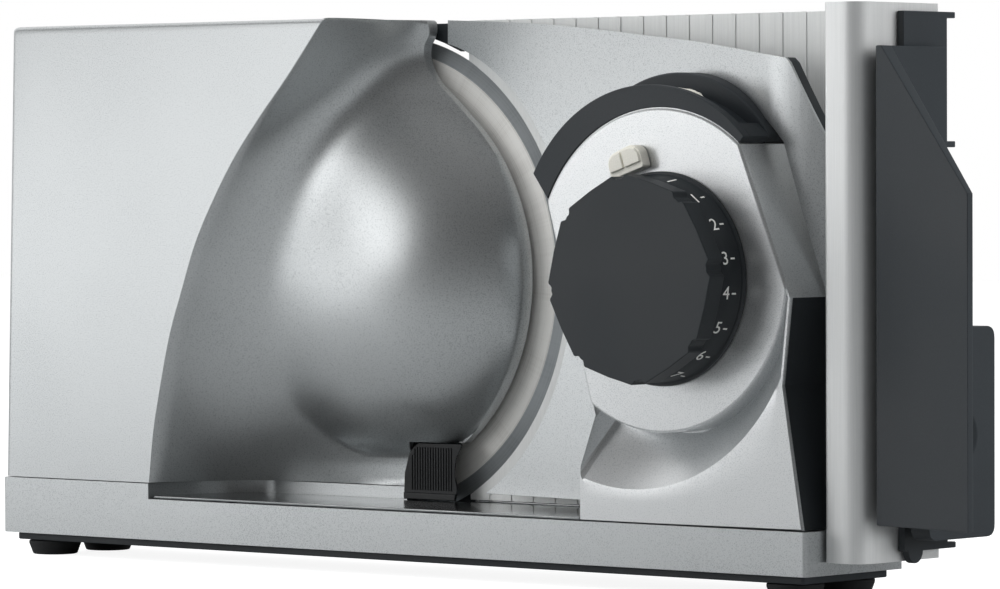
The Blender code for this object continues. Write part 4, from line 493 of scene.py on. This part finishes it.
def depth_at(x, z):
    """Depth of the front at a place: crease, bowl, dome and the flare at the foot."""
    start = crease_x(z)
    if x <= start:
        return FACE
    share = height_share(z)
    deep = BACK - FACE
    along = min(1.0, (x - start) / (right_x(z) - start))
    bowl = deep * smooth_line(BOWL_LINE, share)
    eased_x = math.hypot(x - start, CREASE_ROUND) - CREASE_ROUND
    fall = 1 - math.exp(-eased_x / smooth_line(TURN_LINE, share))
    wall = FACE + bowl * fall + (deep - bowl) * along ** 3
    inside = max(0.0, 1 - dome_share(x, z) ** 2)
    dome = BACK - DOME_LIFT * inside ** 0.62
    soft = max(0.0, 1 - abs(wall - dome) / DOME_BLEND)
    depth = min(wall, dome) - soft * soft * DOME_BLEND / 4
    flare = max(0.0, 1 - (z - LINES_FROM) / (5 + 12 * along ** 1.5))
    return min(BACK - 0.4, max(FACE, min(depth, BACK - 4 * flare ** 1.15)))


def housing_row(z, inset):
    """One level of the housing's skin: up its left side, round the corner, along the flat face, over the
    crease and the bowl, and back at its right edge."""
    side_steps, corner_steps, face_steps, bowl_steps = 6, 6, 14, 96
    left = HOUSING_LEAN * height_share(z) + inset
    face = FACE + inset
    start = crease_x(z)
    end = right_x(z) - inset
    flat = start - left - HOUSING_CORNER - 0.4
    side = BACK - face - HOUSING_CORNER
    row = [(left, BACK - side * i / side_steps) for i in range(side_steps)]
    row += arc(left + HOUSING_CORNER, face + HOUSING_CORNER, HOUSING_CORNER, 180, 270, corner_steps)
    row += [(left + HOUSING_CORNER + flat * i / face_steps, face) for i in range(1, face_steps + 1)]
    for i in range(bowl_steps):
        x = start + (end - start) * (1 - (1 - i / bowl_steps) ** 1.35)
        row.append((x, min(BACK - 0.2, depth_at(x, z) + inset)))
    row += [(end, BACK - 0.15), (end, BACK)]
    return row


def motor_housing():
    """The moulded shell, drawn as a skin of many levels and given its wall."""
    level_steps, round_steps = 120, 5
    shoulder = TOP - TOP_ROUND
    levels = [(PLINTH + (shoulder - PLINTH) * j / level_steps, 0) for j in range(level_steps + 1)]
    for i in range(1, round_steps + 1):
        turn = math.pi / 2 * i / round_steps
        levels.append((shoulder + TOP_ROUND * math.sin(turn), TOP_ROUND * (1 - math.cos(turn))))
    rows = [[place(x, y, z) for x, y in housing_row(z, inset)] for z, inset in levels]
    count = len(rows[0])
    floor = [place(0.2 + 171 * i / (count - 1), BACK, PLINTH) for i in range(count)]
    roof = [place(6.2 + 162 * i / (count - 1), BACK, TOP) for i in range(count)]
    piece = from_grid("fine_motor_housing", count, len(rows) + 2, [floor] + rows + [roof])
    give_wall(piece, HOUSING_WALL)
    cut_away(piece, slab("pocket", GUARD_POCKET, -20, 80), crosses_itself=True)
    soften(piece, 0, soft=38)
    return settle(piece, SILVER, "silver_paint", "frame", "motor_housing")


# Dial housing, its cap, switch, pointer and dial

DISC = (308.5, 106, 53.2)
SCOOP = (296, 104, 70.3)
CAP = (303.5, 110.5, 56.5)
CAP_START, CAP_END = 44, 151
KNOB = (310.3, 103.3)
DIAL_FOOT = 22.8
DISC_FACE, FOOT_FACE, DIAL_BACK = 1, 1.4, 30
BOSS_WALL = 2.4
# Bounds of the dial housing's right flank, painted dark as shade
PAINTED_SHADE_X, PAINTED_SHADE_Y, PAINTED_SHADE_TOP = 355, 3.5, 98
BOSS_OUTLINE = ([(274, DIAL_FOOT), (367.3, DIAL_FOOT), (359.4, 69.4), (362.7, 97.7)]
                + arc(*DISC, 51, 155, 60) + [(280.5, 57), (274, 39.8)])


def reach_of(outline, centre, turn):
    """Distance from a centre to an outline in one direction."""
    best = 1e9
    dx, dz = math.cos(turn), math.sin(turn)
    for (x0, z0), (x1, z1) in zip(outline, outline[1:] + outline[:1]):
        ex, ez = x1 - x0, z1 - z0
        cross = dx * ez - dz * ex
        if abs(cross) < 1e-9:
            continue
        fx, fz = x0 - centre[0], z0 - centre[1]
        far = (fx * ez - fz * ex) / cross
        along = (fx * dz - fz * dx) / cross
        if far > 0 and -1e-6 <= along <= 1 + 1e-6:
            best = min(best, far)
    return best


def circle_reach(centre, circle, turn):
    """Distance from a centre inside a circle to the circle in one direction."""
    aside_x, aside_z = centre[0] - circle[0], centre[1] - circle[1]
    along = aside_x * math.cos(turn) + aside_z * math.sin(turn)
    return math.sqrt(max(0.0, along ** 2 + circle[2] ** 2 - aside_x ** 2 - aside_z ** 2)) - along


def boss_section(turn):
    """The dial housing's section in one direction from the disc's middle: (radius, depth) pairs over the
    disc, down its undercut edge, up the crescent, over the foot and back along the side."""
    rim = reach_of(BOSS_OUTLINE, DISC, turn)
    disc = min(DISC[2], rim)
    crescent = circle_reach(DISC, SCOOP, turn) if math.sin(turn) < 0.12 else disc
    scoop = min(rim, max(disc, crescent))
    from_left = min(1.0, max(0.0, (math.degrees(turn) + 120) / 40))
    deep = min(9.5 + 1.5 * from_left, 0.72 * (scoop - disc))
    line = [(0, DISC_FACE), (disc * 0.5, DISC_FACE), (disc - 1.6, DISC_FACE), (disc - 0.7, DISC_FACE),
            (disc - 0.25, 1.15), (disc, 1.6), (disc + min(0.12, 0.1 * (scoop - disc)), FOOT_FACE + deep)]
    for i in range(1, 9):
        share = i / 8
        line.append((disc + (scoop - disc) * share, 1.6 + (deep - 0.2) * (1 - share ** 1.15)))
    foot = max(0.0, rim - scoop)
    line += [(scoop + foot * i / 5 * 0.985, FOOT_FACE) for i in range(1, 6)]
    line += [(rim - 0.9, FOOT_FACE + 0.05), (rim - 0.35, FOOT_FACE + 0.3), (rim - 0.08, FOOT_FACE + 0.8),
             (rim, FOOT_FACE + 1.5), (rim, DIAL_BACK), (rim - BOSS_WALL, DIAL_BACK), (rim - BOSS_WALL, 13)]
    return line


def dial_housing():
    """Silver housing of the dial: a disc, an undercut crescent round it and the sloping foot. Its right
    flank lies in shade and is given the dark plastic's finish as painted shade, since it shows nearly black."""
    corners = [math.atan2(z - DISC[1], x - DISC[0]) for x, z in BOSS_OUTLINE[:4] + BOSS_OUTLINE[-2:]]
    turns = sorted(set([round(math.radians(1.5 * i - 180), 6) for i in range(240)] + corners))
    turns.append(turns[0] + 2 * math.pi)
    columns = []
    for turn in turns:
        section = [(max(0.0, radius), y) for radius, y in boss_section(turn)]
        columns.append([place(DISC[0] + radius * math.cos(turn), y, DISC[1] + radius * math.sin(turn))
                        for radius, y in section])
    rows = list(zip(*columns))
    piece = from_grid("fine_dial_housing", len(turns), len(rows), rows)
    close_up(piece)
    inner = []
    for turn in turns[:-1:4]:
        reach = reach_of(BOSS_OUTLINE, DISC, turn) - BOSS_WALL + 0.1
        inner.append((DISC[0] + reach * math.cos(turn), DISC[1] + reach * math.sin(turn)))
    floor = slab("floor_of_the_back", inner, 12, 13)
    front = min(piece.data.polygons, key=lambda face: face.center.y)
    if front.normal.y > 0:
        piece.data.flip_normals()
    piece = joined(piece, floor)
    soften(piece, 0, soft=8)
    # The dial housing takes the lighter copy of the lacquer: painted light
    settle(piece, SILVER_PAINTED_LIGHTER, "silver_paint", "frame", "dial_housing")
    # Faces of the right flank below the cover take the dark plastic: painted shade
    piece.data.materials.append(ANTHRACITE)
    painted_shade_corner = place(PAINTED_SHADE_X, PAINTED_SHADE_Y, PAINTED_SHADE_TOP)
    for face in piece.data.polygons:
        middle = face.center
        if face.normal.x > 0.7 and middle.x > painted_shade_corner.x and middle.y > painted_shade_corner.y and middle.z < painted_shade_corner.z:
            face.material_index = 1
    return piece


def cap_edge(offset):
    """The cap's outer edge, moved in or out by what offset gives for each angle in degrees."""
    steps = 48
    points = []
    for i in range(steps + 1):
        turn = CAP_START + (CAP_END - CAP_START) * i / steps
        reach = CAP[2] + offset(turn)
        points.append((CAP[0] + reach * math.cos(math.radians(turn)),
                       CAP[1] + reach * math.sin(math.radians(turn))))
    return points


def switch_cap():
    """Black cap round the disc: front band, sunk trough and the higher rim behind it."""
    inner = arc(DISC[0], DISC[1], DISC[2] + 0.3, 154, 51, 48)

    def trough(turn):
        return -2.6 if 52 < turn < 98 else 0

    def rise(turn):
        return 4.2 * max(0.0, math.sin(math.pi * min(1.0, (turn - CAP_START) / 78))) ** 0.8

    front = soften(slab("fine_switch_cap", arc(*CAP, CAP_START, CAP_END, 48) + inner, 1.1, 4.6), 0.35, 3)
    middle = soften(slab("trough", cap_edge(trough) + inner, 4.5, 14.6), 0.2, 2)
    rear = soften(slab("rear_rim", cap_edge(rise) + inner, 14.5, 29), 0.8, 4)
    piece = joined(front, middle, rear)
    settle(piece, ANTHRACITE, "black_plastic", "frame", "switch_cap")
    # A thin seam ring in the lighter copy of the lacquer: painted light
    seam = slab("disc_seam", arc(DISC[0], DISC[1], DISC[2] + 0.28, 52, 153, 48)
                + arc(DISC[0], DISC[1], DISC[2] - 0.05, 153, 52, 48), 1.6, 3)
    settle(seam, SILVER_PAINTED_LIGHTER, "silver_paint", "frame")
    return piece


GRIP_SIDES, GRIP_RADIUS, GRIP_TURN = 8, 35.4, 7
GRIP_NOTCH = [(-22.5, 0), (-5.2, 0), (-4.2, 0.25), (-3.2, 1.1), (-2.0, 1.9), (0, 2.2), (2.0, 1.9),
              (3.2, 1.1), (4.2, 0.25), (5.2, 0)]
SKIRT_PROFILE = [(0, 0.7), (35.2, 0.7), (35.2, -0.4), (34.9, -0.9), (34.3, -1.0), (34.1, -1.3), (33.9, -2),
                 (33.4, -5), (32.7, -9.2), (32.2, -9.9), (31.3, -10.2), (0, -10.2)]


def knob():
    """Dial: an eight-sided grip with notched corners on a turned skirt that carries the scale."""
    skirt = soften(turned("skirt", SKIRT_PROFILE, KNOB, 128), 0, soft=30)
    half = 180 / GRIP_SIDES
    outline = []
    for i in range(GRIP_SIDES):
        corner = GRIP_TURN + 2 * half * i
        for shift, depth in GRIP_NOTCH:
            flat = math.cos(math.radians(half)) / math.cos(math.radians(half - abs(shift)))
            radius = GRIP_RADIUS * flat * (1 + 0.012 * (abs(shift) / half) ** 2) - depth
            angle = math.radians(corner + shift)
            outline.append((KNOB[0] + radius * math.cos(angle), KNOB[1] + radius * math.sin(angle)))
    grip = soften(slab("fine_thickness_knob", outline, -17, -9.6), 0.35, 3, 28)
    piece = joined(grip, skirt)
    return settle(piece, DARK_GRIP, "black_plastic", "dial", "thickness_knob")


def on_skirt(turn, along, u, v, lift):
    """A point printed on the skirt's cone: u runs outwards to the rim, v round the axis, lift off it."""
    y = along + u
    radius = 32.75 + (y + 9.2) * (33.9 - 32.75) / 7.2 + 0.08
    angle = math.radians(turn) + v / 33.4
    spot = place(KNOB[0] + radius * math.cos(angle), y, KNOB[1] + radius * math.sin(angle))
    away = spot - place(KNOB[0], -6, KNOB[1])
    away.y = 0
    return spot + away.normalized() * (lift * MM)


def printed_mark(name, turn, along, length, half_width):
    """A dash printed on the skirt."""
    mark = box_piece(name, (0, 0, 0), (1, 1, 1))
    corners = [(u, v, lift) for u in (0, length) for v in (-half_width, half_width) for lift in (0, 0.08)]
    for vert, (u, v, lift) in zip(mark.data.vertices, corners):
        vert.co = on_skirt(turn, along, u, v, lift)
    return mark


SCALE_TURNS = {"1": 52.5, "2": 32.5, "3": 12, "4": -7.5, "5": -28, "6": -48, "7": -69}
DIGIT_SIZE = 6.2


def scale_numbers():
    """White numbers with a dash each on the dial's skirt, and the long stroke of its zero."""
    printed = []
    for label, turn in SCALE_TURNS.items():
        alone()
        bpy.ops.object.text_add(location=(0, 0, 0))
        word = bpy.context.object
        word.data.body = label
        word.data.size = DIGIT_SIZE
        word.data.align_x = "CENTER"
        word.data.align_y = "CENTER"
        word.data.resolution_u = 4
        word.data.extrude = 0.05
        bpy.ops.object.convert(target="MESH")
        word = bpy.context.object
        for vert in word.data.vertices:
            x, y, z = vert.co
            vert.co = on_skirt(turn, -6.9, x * 0.95, y, z * 0.8)
        printed += [word, printed_mark("dash", turn, -4.6, 1.7, 0.28)]
    piece = joined(*printed, printed_mark("zero_mark", 74, -7.6, 4.2, 0.3))
    piece.name = "scale_numbers"
    close_up(piece)
    return settle(piece, PRINT, "cream_plastic", "dial")


POINTER_TURN = 18
POINTER_ROUND = 4


def thickness_pointer():
    """Cream tab with a rounded head, an index groove and a chamfered foot that shows the mark."""
    turn = math.radians(POINTER_TURN)

    def set_round(points):
        """Points upright over the dial, turned to the pointer's place."""
        return [(KNOB[0] + x * math.cos(turn) - z * math.sin(turn),
                 KNOB[1] + x * math.sin(turn) + z * math.cos(turn)) for x, z in points]

    outline = [(-7.4, 36.9), (-7, 36.4), (6.4, 36.4), (7, 36.9)]
    outline += arc(7 - POINTER_ROUND, 41, POINTER_ROUND, 0, 90, 6)
    outline += arc(-7.4 + POINTER_ROUND, 40.6, POINTER_ROUND, 90, 180, 6)
    left = [(-6.8, 38.4), (-0.9, 38.4), (-0.9, 44), (-4, 44), (-6.2, 42.6), (-6.8, 40.6)]
    right = [(-0.3, 38.4), (6.4, 38.4), (6.4, 41.2), (5.4, 43.4), (3, 44.2), (-0.3, 44.2)]
    tab = soften(slab("fine_thickness_pointer", set_round(outline), -3.4, 0.7), 0.5, 3)
    left_cheek = soften(slab("left_cheek", set_round(left), -4.1, -3), 0.4, 3)
    right_cheek = soften(slab("right_cheek", set_round(right), -4.1, -3), 0.4, 3)
    piece = joined(tab, left_cheek, right_cheek)
    return settle(piece, CREAM, "cream_plastic", "frame", "thickness_pointer")


def switch_slider():
    """Cream thumb piece of the switch, standing in the cap's trough."""
    thumb = arc(CAP[0], CAP[1], 56, 73, 86, 8) + arc(CAP[0], CAP[1], 54.2, 87, 70, 8)
    ridge = arc(CAP[0], CAP[1], 56.3, 75, 78, 3) + arc(CAP[0], CAP[1], 55.7, 79, 74, 3)
    piece = soften(slab("fine_switch_slider", thumb, 5.6, 9.6), 0.6, 4)
    piece = joined(piece, soften(slab("nib", ridge, 6.2, 9), 0.25, 2))
    return settle(piece, CREAM, "cream_plastic", "switch", "switch_slider")


# Stop plate: its sloping cover and its ribbed front

COVER_LEFT, COVER_RIGHT = 177.5, 370.4
COVER_LEFT_Y, COVER_RIGHT_Y = 44.8, 12.65
COVER_TURN_X, COVER_TURN_BACK = 342, 9.5
COVER_LOW, COVER_HIGH = 27, 191.4
COVER_TOP_LINE = [(0, 1), (0.24, 0.885), (0.4, 0.755), (0.625, 0.52), (0.755, 0.375), (1, 0)]
PANEL_CORNER = [(348.7, 175.4), (350.4, 173.8), (354, 166.9), (358, 159.3), (362, 151.8), (366, 144.6),
                (370.4, 143)]
RIB_PITCH = 10
RING_INNER, RING_OUTER = 86.3, 91


def panel_y(x):
    """Depth of the stop plate's sloping cover; beside the dial's right flank it runs level."""
    y = COVER_LEFT_Y - (COVER_LEFT_Y - COVER_RIGHT_Y) * (x - COVER_LEFT) / (COVER_RIGHT - COVER_LEFT)
    if x > COVER_TURN_X:
        y += COVER_TURN_BACK * ((x - COVER_TURN_X) / 28) ** 1.6
    return y


def cover_cutters():
    """What is cut from the cover: its falling top, the room round blade and guard, and round the dial."""
    corner_x, corner_z, steps = 350, 175.2, 16
    span, fall = corner_x - COVER_LEFT, COVER_HIGH - corner_z
    top = [(COVER_LEFT + span * i / steps, corner_z + fall * smooth_line(COVER_TOP_LINE, i / steps))
           for i in range(steps)]
    roof = [(170, 200)] + top + PANEL_CORNER + [(380, 143), (380, 200)]
    round_blade = arc(BLADE_X + 16.4, BLADE_Z, 83.5, 0, 360, 180)[:-1]
    beside_guard = [(170, 20), (193.9, 20), (193.9, BLADE_Z), (170, BLADE_Z)]
    round_dial = ([(273.2, 20), (380, 20), (380, 97.7), (363.5, 97.7)] + arc(CAP[0], CAP[1], 58, 40, 152, 60)
                  + [(259.5, 128.2), (279.6, 57), (273, 39.8)])
    return [slab("cutter", outline, -10, 80) for outline in (roof, round_blade, beside_guard, round_dial)]


def stop_plate_cover():
    """Silver cover that slopes forward from the blade to the column, cut round blade and dial, and the
    dark backing that shows past its upper right corner."""
    steps = 48
    columns = [COVER_LEFT + (COVER_RIGHT - COVER_LEFT) * i / steps for i in range(steps + 1)]
    rows = [[place(x, panel_y(x), z) for x in columns] for z in (COVER_LOW, COVER_HIGH)]
    piece = from_grid("fine_stop_plate_cover", steps + 1, 2, rows)
    give_wall(piece, 1)
    for cutter in cover_cutters():
        cut_away(piece, cutter)
    close_up(piece)
    soften(piece, 0.3, 3, 40)
    backing = slab("cover_backing", [(335, 176)] + PANEL_CORNER[:-1] + [(366, 128), (340, 160)], 0, 4.4)
    for vert in backing.data.vertices:
        x = (vert.co.x - place(0, 0, 0).x) / MM
        vert.co.y += (panel_y(x) + 1.02) * MM
    soften(backing, 0.3, 2)
    settle(backing, ANTHRACITE, "black_plastic", "stop_unit")
    return settle(piece, SILVER, "silver_paint", "stop_unit", "stop_plate_cover")


def web_ribs():
    """Front of the stop plate's web: shallow bands with a fine step at each, and the smooth band
    that follows the blade."""
    left, right, back = 184.6, 370.3, 48.1
    plan = [(left, back)]
    for i in range(19):
        x = 183.6 + RIB_PITCH * i
        plan += [(max(left, x), 47.97), (x + 2.4, 47.9), (x + 6.9, 47.84), (x + 7.1, 47.72), (x + 9.9, 47.7)]
    plan = [point for point in plan if point[0] <= right] + [(right, 47.7), (right, back)]
    ribs = slab("web_ribs", plan, 24.3, 191, "top")
    cut_away(ribs, slab("hole", arc(BLADE_X, BLADE_Z, RING_INNER, 0, 360, 180)[:-1], 30, 60))
    ring = (arc(BLADE_X, BLADE_Z, RING_OUTER, -57.8, 58, 90)
            + arc(BLADE_X, BLADE_Z, RING_INNER, 58, -60, 90))
    band = soften(slab("blade_band", ring, 47.62, 48.05), 0.12, 2)
    bpy.ops.object.shade_smooth_by_angle(angle=math.radians(20))
    piece = joined(ribs, band)
    return settle(piece, WEB, "anodised_aluminium", "stop_unit")


# Blade, its guard, the tray's edge and the screws at the back

def tray_lip():
    """Turned-up rear edge of the slice tray, under the stop plate, and the wall beside the blade's slot."""
    lip = soften(box_piece("tray_lip", (184.5, 50.6, 22.55), (272, 51.8, 23.9)), 0.25, 2)
    settle(lip, TRAY, "steel", "frame")
    wall = soften(box_piece("blade_slot_wall", (166, 51.8, 22.6), (184.4, 52.4, 31)), 0.2, 2)
    return settle(wall, ANTHRACITE, "black_plastic", "frame")


GUARD_OUTLINE = [(159.9, 23.9), (184.2, 23.9), (184.5, 25.6), (185.1, 27.4), (184.9, 29.2), (184.2, 31.9),
                 (184.1, 35), (184.8, 38.9), (187.4, 43.2), (187, 43.8), (165.6, 43.8), (162.4, 39.6),
                 (160.3, 33)]
GUARD_BACK_STEP = 6.3


def blade_guard():
    """Gloss black guard at the blade's foot: concave right edge, fine ribs and a lip below."""
    body = slab("fine_blade_guard", GUARD_OUTLINE, 40.4, 47.7)
    corner = place(180, 45, 0)
    for vert in body.data.vertices:
        if vert.co.y > corner.y and vert.co.x > corner.x:
            vert.co.x -= GUARD_BACK_STEP * MM
    soften(body, 0.6, 4)
    ribs = []
    for i in range(16):
        x = 163.6 + i * 1.22
        top = min(42.3, 33.5 + (x - 160.3) * 1.8)
        ribs.append(soften(box_piece("rib", (x, 40.12, 27.2), (x + 0.62, 40.9, top)), 0.18, 2))
    lip = soften(slab("lip", [(160.1, 23.9), (184.1, 23.9), (184.6, 26.3), (160.1, 26.3)], 40, 41), 0.3, 3)
    piece = joined(body, lip, *ribs)
    return settle(piece, SMOKE_GLOSS, "gloss_black_plastic", "frame", "blade_guard")


def slot_liner():
    """Dark ear of the bulkhead above the blade, seen in the slot between housing and stop plate."""
    outline = [(163, 190.4), (163, 186.4), (172, 183.6), (180, 180.4), (180, 190.4)]
    piece = soften(slab("slot_liner", outline, 48.9, 51.2), 0.3, 2)
    return settle(piece, ANTHRACITE, "black_plastic", "frame")


BLADE_PROFILE = [(6, 51.5), (70, 51.5), (84.6, 51.45), (85, 51.35), (84.6, 51.1), (80, 49.62), (79.6, 49.42),
                 (79, 49.34), (70, 49.3), (40, 49.3), (6, 49.3), (6, 51.5)]
BEVEL_START = 79.8


def blade():
    """Round blade: ground face, a step to the darker bevel and a keen edge."""
    piece = soften(turned("fine_blade", BLADE_PROFILE, (BLADE_X, BLADE_Z), 240), 0, soft=25)
    settle(piece, BLADE, "steel", "blade_unit", "blade")
    piece.data.materials.append(BEVEL_STEEL)
    for face in piece.data.polygons:
        away = math.hypot(face.center.x - BLADE_CENTRE.x, face.center.z - BLADE_CENTRE.z) / MM
        if away > BEVEL_START and face.normal.y < 0:
            face.material_index = 1
    return piece


SCREW_PLACES = [(8, 36), (8, 184), (52, 186), (60, 33)]
SCREW_PROFILE = [(0, 51.75), (2.2, 51.75), (2.9, 51.6), (3.1, 51.4), (3.1, 50.6), (0, 50.6)]
CROSS_LENGTH, CROSS_WIDTH = 3.4, 0.7


def back_screws():
    """Recessed cross-head screws that hold the rear cover."""
    heads = []
    for x, z in SCREW_PLACES:
        head = turned("screw", SCREW_PROFILE, (x, z), 32)
        for wide, high in ((CROSS_LENGTH, CROSS_WIDTH), (CROSS_WIDTH, CROSS_LENGTH)):
            cut_away(head, box_piece("cross", (x - wide / 2, 51.2, z - high / 2),
                                     (x + wide / 2, 52.5, z + high / 2)))
        heads.append(soften(head, 0, soft=30))
    piece = joined(*heads)
    piece.name = "back_screws"
    return settle(piece, ROD_STEEL, "steel", "frame")


# Floor, surround, lamps and camera

# Each area has a direction, the cosines at which it starts and is full, and its strength. They show in what
# mirrors off the pieces alone: left above, behind on the left, overhead, and an even rest.

MIRRORED_AREAS = [((-0.86, 0.06, 0.5), 0.72, 0.99, 0.9), ((-0.42, 0.9, 0), 0.4, 1.0, 0.5),
                  ((0, 0, 1), 0.3, 0.95, 0.12), ((0, 0, 0), -1.0, 0.0, 0.09)]
DIFFUSE_LEVEL = 0.27

# Name, place, aim (metres), width, watts, height, and whether it shows as a reflection

LAMPS = [("left_softbox", (-1.6, -1.0, 0.9), (0, 0, 0.1), 1.2, 24, 1.2, False),
         ("top_softbox", (-0.3, -0.5, 1.8), (0, 0, 0.1), 1.4, 16, 1.4, False),
         ("rear_softbox", (1.6, 0.7, 0.8), (0.1, 0, 0.1), 1.4, 34, 1.4, False),
         ("front_strip", (-1.0, -0.75, 0.12), (0, 0, 0.1), 0.78, 0.84, 0.24, True),
         ("face_light", (-0.58, -1.0, 0.38), (-0.04, 0, 0.1), 0.46, 1.35, 0.4, True)]

CAMERA_SPOT = place(1467.5, -1408.0, 139.7)
CAMERA_TURN, CAMERA_TILT, CAMERA_ROLL = 41.075, 1.3, -0.2
SENSOR_MM = 36
IMAGE_WIDTH = 1000
FOCAL_PIXELS = 5564.9


def paper_floor():
    """Pale paper under the part, lit up to white for the camera; the object's shadow still shows."""
    alone()
    bpy.ops.mesh.primitive_plane_add(size=8, location=(0, 0, 0))
    floor = bpy.context.object
    floor.name = "floor"
    white = bpy.data.materials.new("white_paper")
    white.use_nodes = True
    tree = white.node_tree
    shader = tree.nodes["Principled BSDF"]
    shader.inputs["Base Color"].default_value = paint_value("#A2A4A5")
    shader.inputs["Roughness"].default_value = 0.9
    seen = add(tree, "ShaderNodeLightPath")
    level = add(tree, "ShaderNodeMath", {"operation": "MULTIPLY", 1: 0.9}, {0: seen.outputs["Is Camera Ray"]})
    glow = add(tree, "ShaderNodeEmission", {"Color": paint_value("#FFFFFF")}, {"Strength": level.outputs[0]})
    both = add(tree, "ShaderNodeAddShader", links={0: shader.outputs[0], 1: glow.outputs[0]})
    tree.links.new(both.outputs[0], tree.nodes["Material Output"].inputs["Surface"])
    floor.data.materials.append(white)


def surround():
    """White for the camera and through glass, a grey level for plain light, and in what mirrors off the
    pieces a darker room with soft bright areas, as the photograph's reflections show."""
    world = bpy.data.worlds.new("studio")
    bpy.context.scene.world = world
    world.use_nodes = True
    tree = world.node_tree
    back = tree.nodes["Background"]
    seen = add(tree, "ShaderNodeLightPath")
    around = add(tree, "ShaderNodeTexCoord")
    mirrored = None
    for toward, start, full, power in MIRRORED_AREAS:
        side = add(tree, "ShaderNodeVectorMath", {"operation": "DOT_PRODUCT", 1: toward},
                   {0: around.outputs["Generated"]})
        area = add(tree, "ShaderNodeMapRange", {"From Min": start, "From Max": full, "To Min": 0.0,
                                                "To Max": power, "interpolation_type": "SMOOTHSTEP"},
                   {"Value": side.outputs["Value"]})
        if mirrored:
            total = add(tree, "ShaderNodeMath", {"operation": "ADD"},
                        {0: mirrored, 1: area.outputs["Result"]})
            mirrored = total.outputs[0]
        else:
            mirrored = area.outputs["Result"]
    indirect = add(tree, "ShaderNodeMix", {"data_type": "FLOAT", "A": DIFFUSE_LEVEL},
                   {"Factor": seen.outputs["Is Glossy Ray"], "B": mirrored})
    direct = add(tree, "ShaderNodeMath", {"operation": "MAXIMUM"},
                 {0: seen.outputs["Is Camera Ray"], 1: seen.outputs["Is Transmission Ray"]})
    final = add(tree, "ShaderNodeMix", {"data_type": "FLOAT", "B": 1.0},
                {"Factor": direct.outputs[0], "A": indirect.outputs["Result"]})
    back.inputs["Color"].default_value = (1, 1, 1, 1)
    tree.links.new(final.outputs["Result"], back.inputs["Strength"])


def lamps():
    """Three large softboxes that light the part, and two smaller ones that also show in its metal."""
    for name, spot, aim, width, power, height, mirrors in LAMPS:
        lamp = bpy.data.lights.new(name, "AREA")
        lamp.shape = "RECTANGLE"
        lamp.size = width
        lamp.size_y = height
        lamp.energy = power
        holder = bpy.data.objects.new(name, lamp)
        bpy.context.scene.collection.objects.link(holder)
        holder.location = spot
        holder.rotation_euler = (Vector(aim) - Vector(spot)).to_track_quat("-Z", "Y").to_euler()
        holder.visible_glossy = mirrors


def camera():
    """The camera at the photograph's view, with no shift and no depth of field."""
    turn, tilt, roll = (math.radians(angle) for angle in (CAMERA_TURN, CAMERA_TILT, CAMERA_ROLL))
    look = Vector((-math.sin(turn) * math.cos(tilt), math.cos(turn) * math.cos(tilt), -math.sin(tilt)))
    level = Vector((math.cos(turn), math.sin(turn), 0))
    upright = level.cross(look)
    right = math.cos(roll) * level + math.sin(roll) * upright
    up = -math.sin(roll) * level + math.cos(roll) * upright
    eye = bpy.data.cameras.new("camera")
    eye.sensor_width = SENSOR_MM
    eye.lens = FOCAL_PIXELS / IMAGE_WIDTH * SENSOR_MM
    eye.clip_end = 20
    holder = bpy.data.objects.new("camera", eye)
    bpy.context.scene.collection.objects.link(holder)
    holder.matrix_world = Matrix((
        (right.x, up.x, -look.x, CAMERA_SPOT.x), (right.y, up.y, -look.y, CAMERA_SPOT.y),
        (right.z, up.z, -look.z, CAMERA_SPOT.z), (0, 0, 0, 1)))
    bpy.context.scene.camera = holder


def stage():
    """Floor, surround, lamps and camera, in the plain view transform."""
    paper_floor()
    surround()
    lamps()
    camera()
    bpy.context.scene.view_settings.view_transform = "Standard"


# All the pieces

def dress():
    """Make every piece that shows."""
    motor_housing()
    dial_housing()
    switch_cap()
    knob()
    scale_numbers()
    thickness_pointer()
    switch_slider()
    stop_plate_cover()
    web_ribs()
    tray_lip()
    blade_guard()
    slot_liner()
    blade()
    back_screws()
    eased("base_casting", SILVER, "silver_paint", 0.3)
    eased("back_cover", SILVER, "silver_paint", 0.4)
    eased("stop_plate", COLUMN, "anodised_aluminium", 0.25)
    eased("carriage_table", COLUMN, "anodised_aluminium", 0.4)
    eased("blade_cap", CAP_METAL, "anodised_aluminium", 0.3)
    eased("slice_tray", TRAY, "steel", 0.15)
    for node in ("stop_end_cover", "remnant_holder", "holder_grip", "base_underpan", "gear_bulkhead",
                 "stop_carrier", "rail_bracket_left", "rail_bracket_right", "carriage_sled",
                 "carriage_end_wall", "motor_fan"):
        eased(node, ANTHRACITE, "black_plastic", 0.4)
    for node in ("foot_front_left", "foot_front_right", "foot_back_left", "foot_back_right", "cord_inlet"):
        eased(node, RUBBER, "rubber", 0.4)
    for node in ("blade_shaft", "motor_can", "motor_shaft", "guide_rod_lower", "guide_rod_upper",
                 "knob_spindle", "carriage_rail", "table_hinge_pin"):
        eased(node, ROD_STEEL, "steel", 0.2)
    for node in ("blade_bush", "spindle_nut"):
        eased(node, BRASS, "brass", 0.2)
    eased("worm_wheel", NYLON, "white_nylon", 0.15)


dress()
stage()
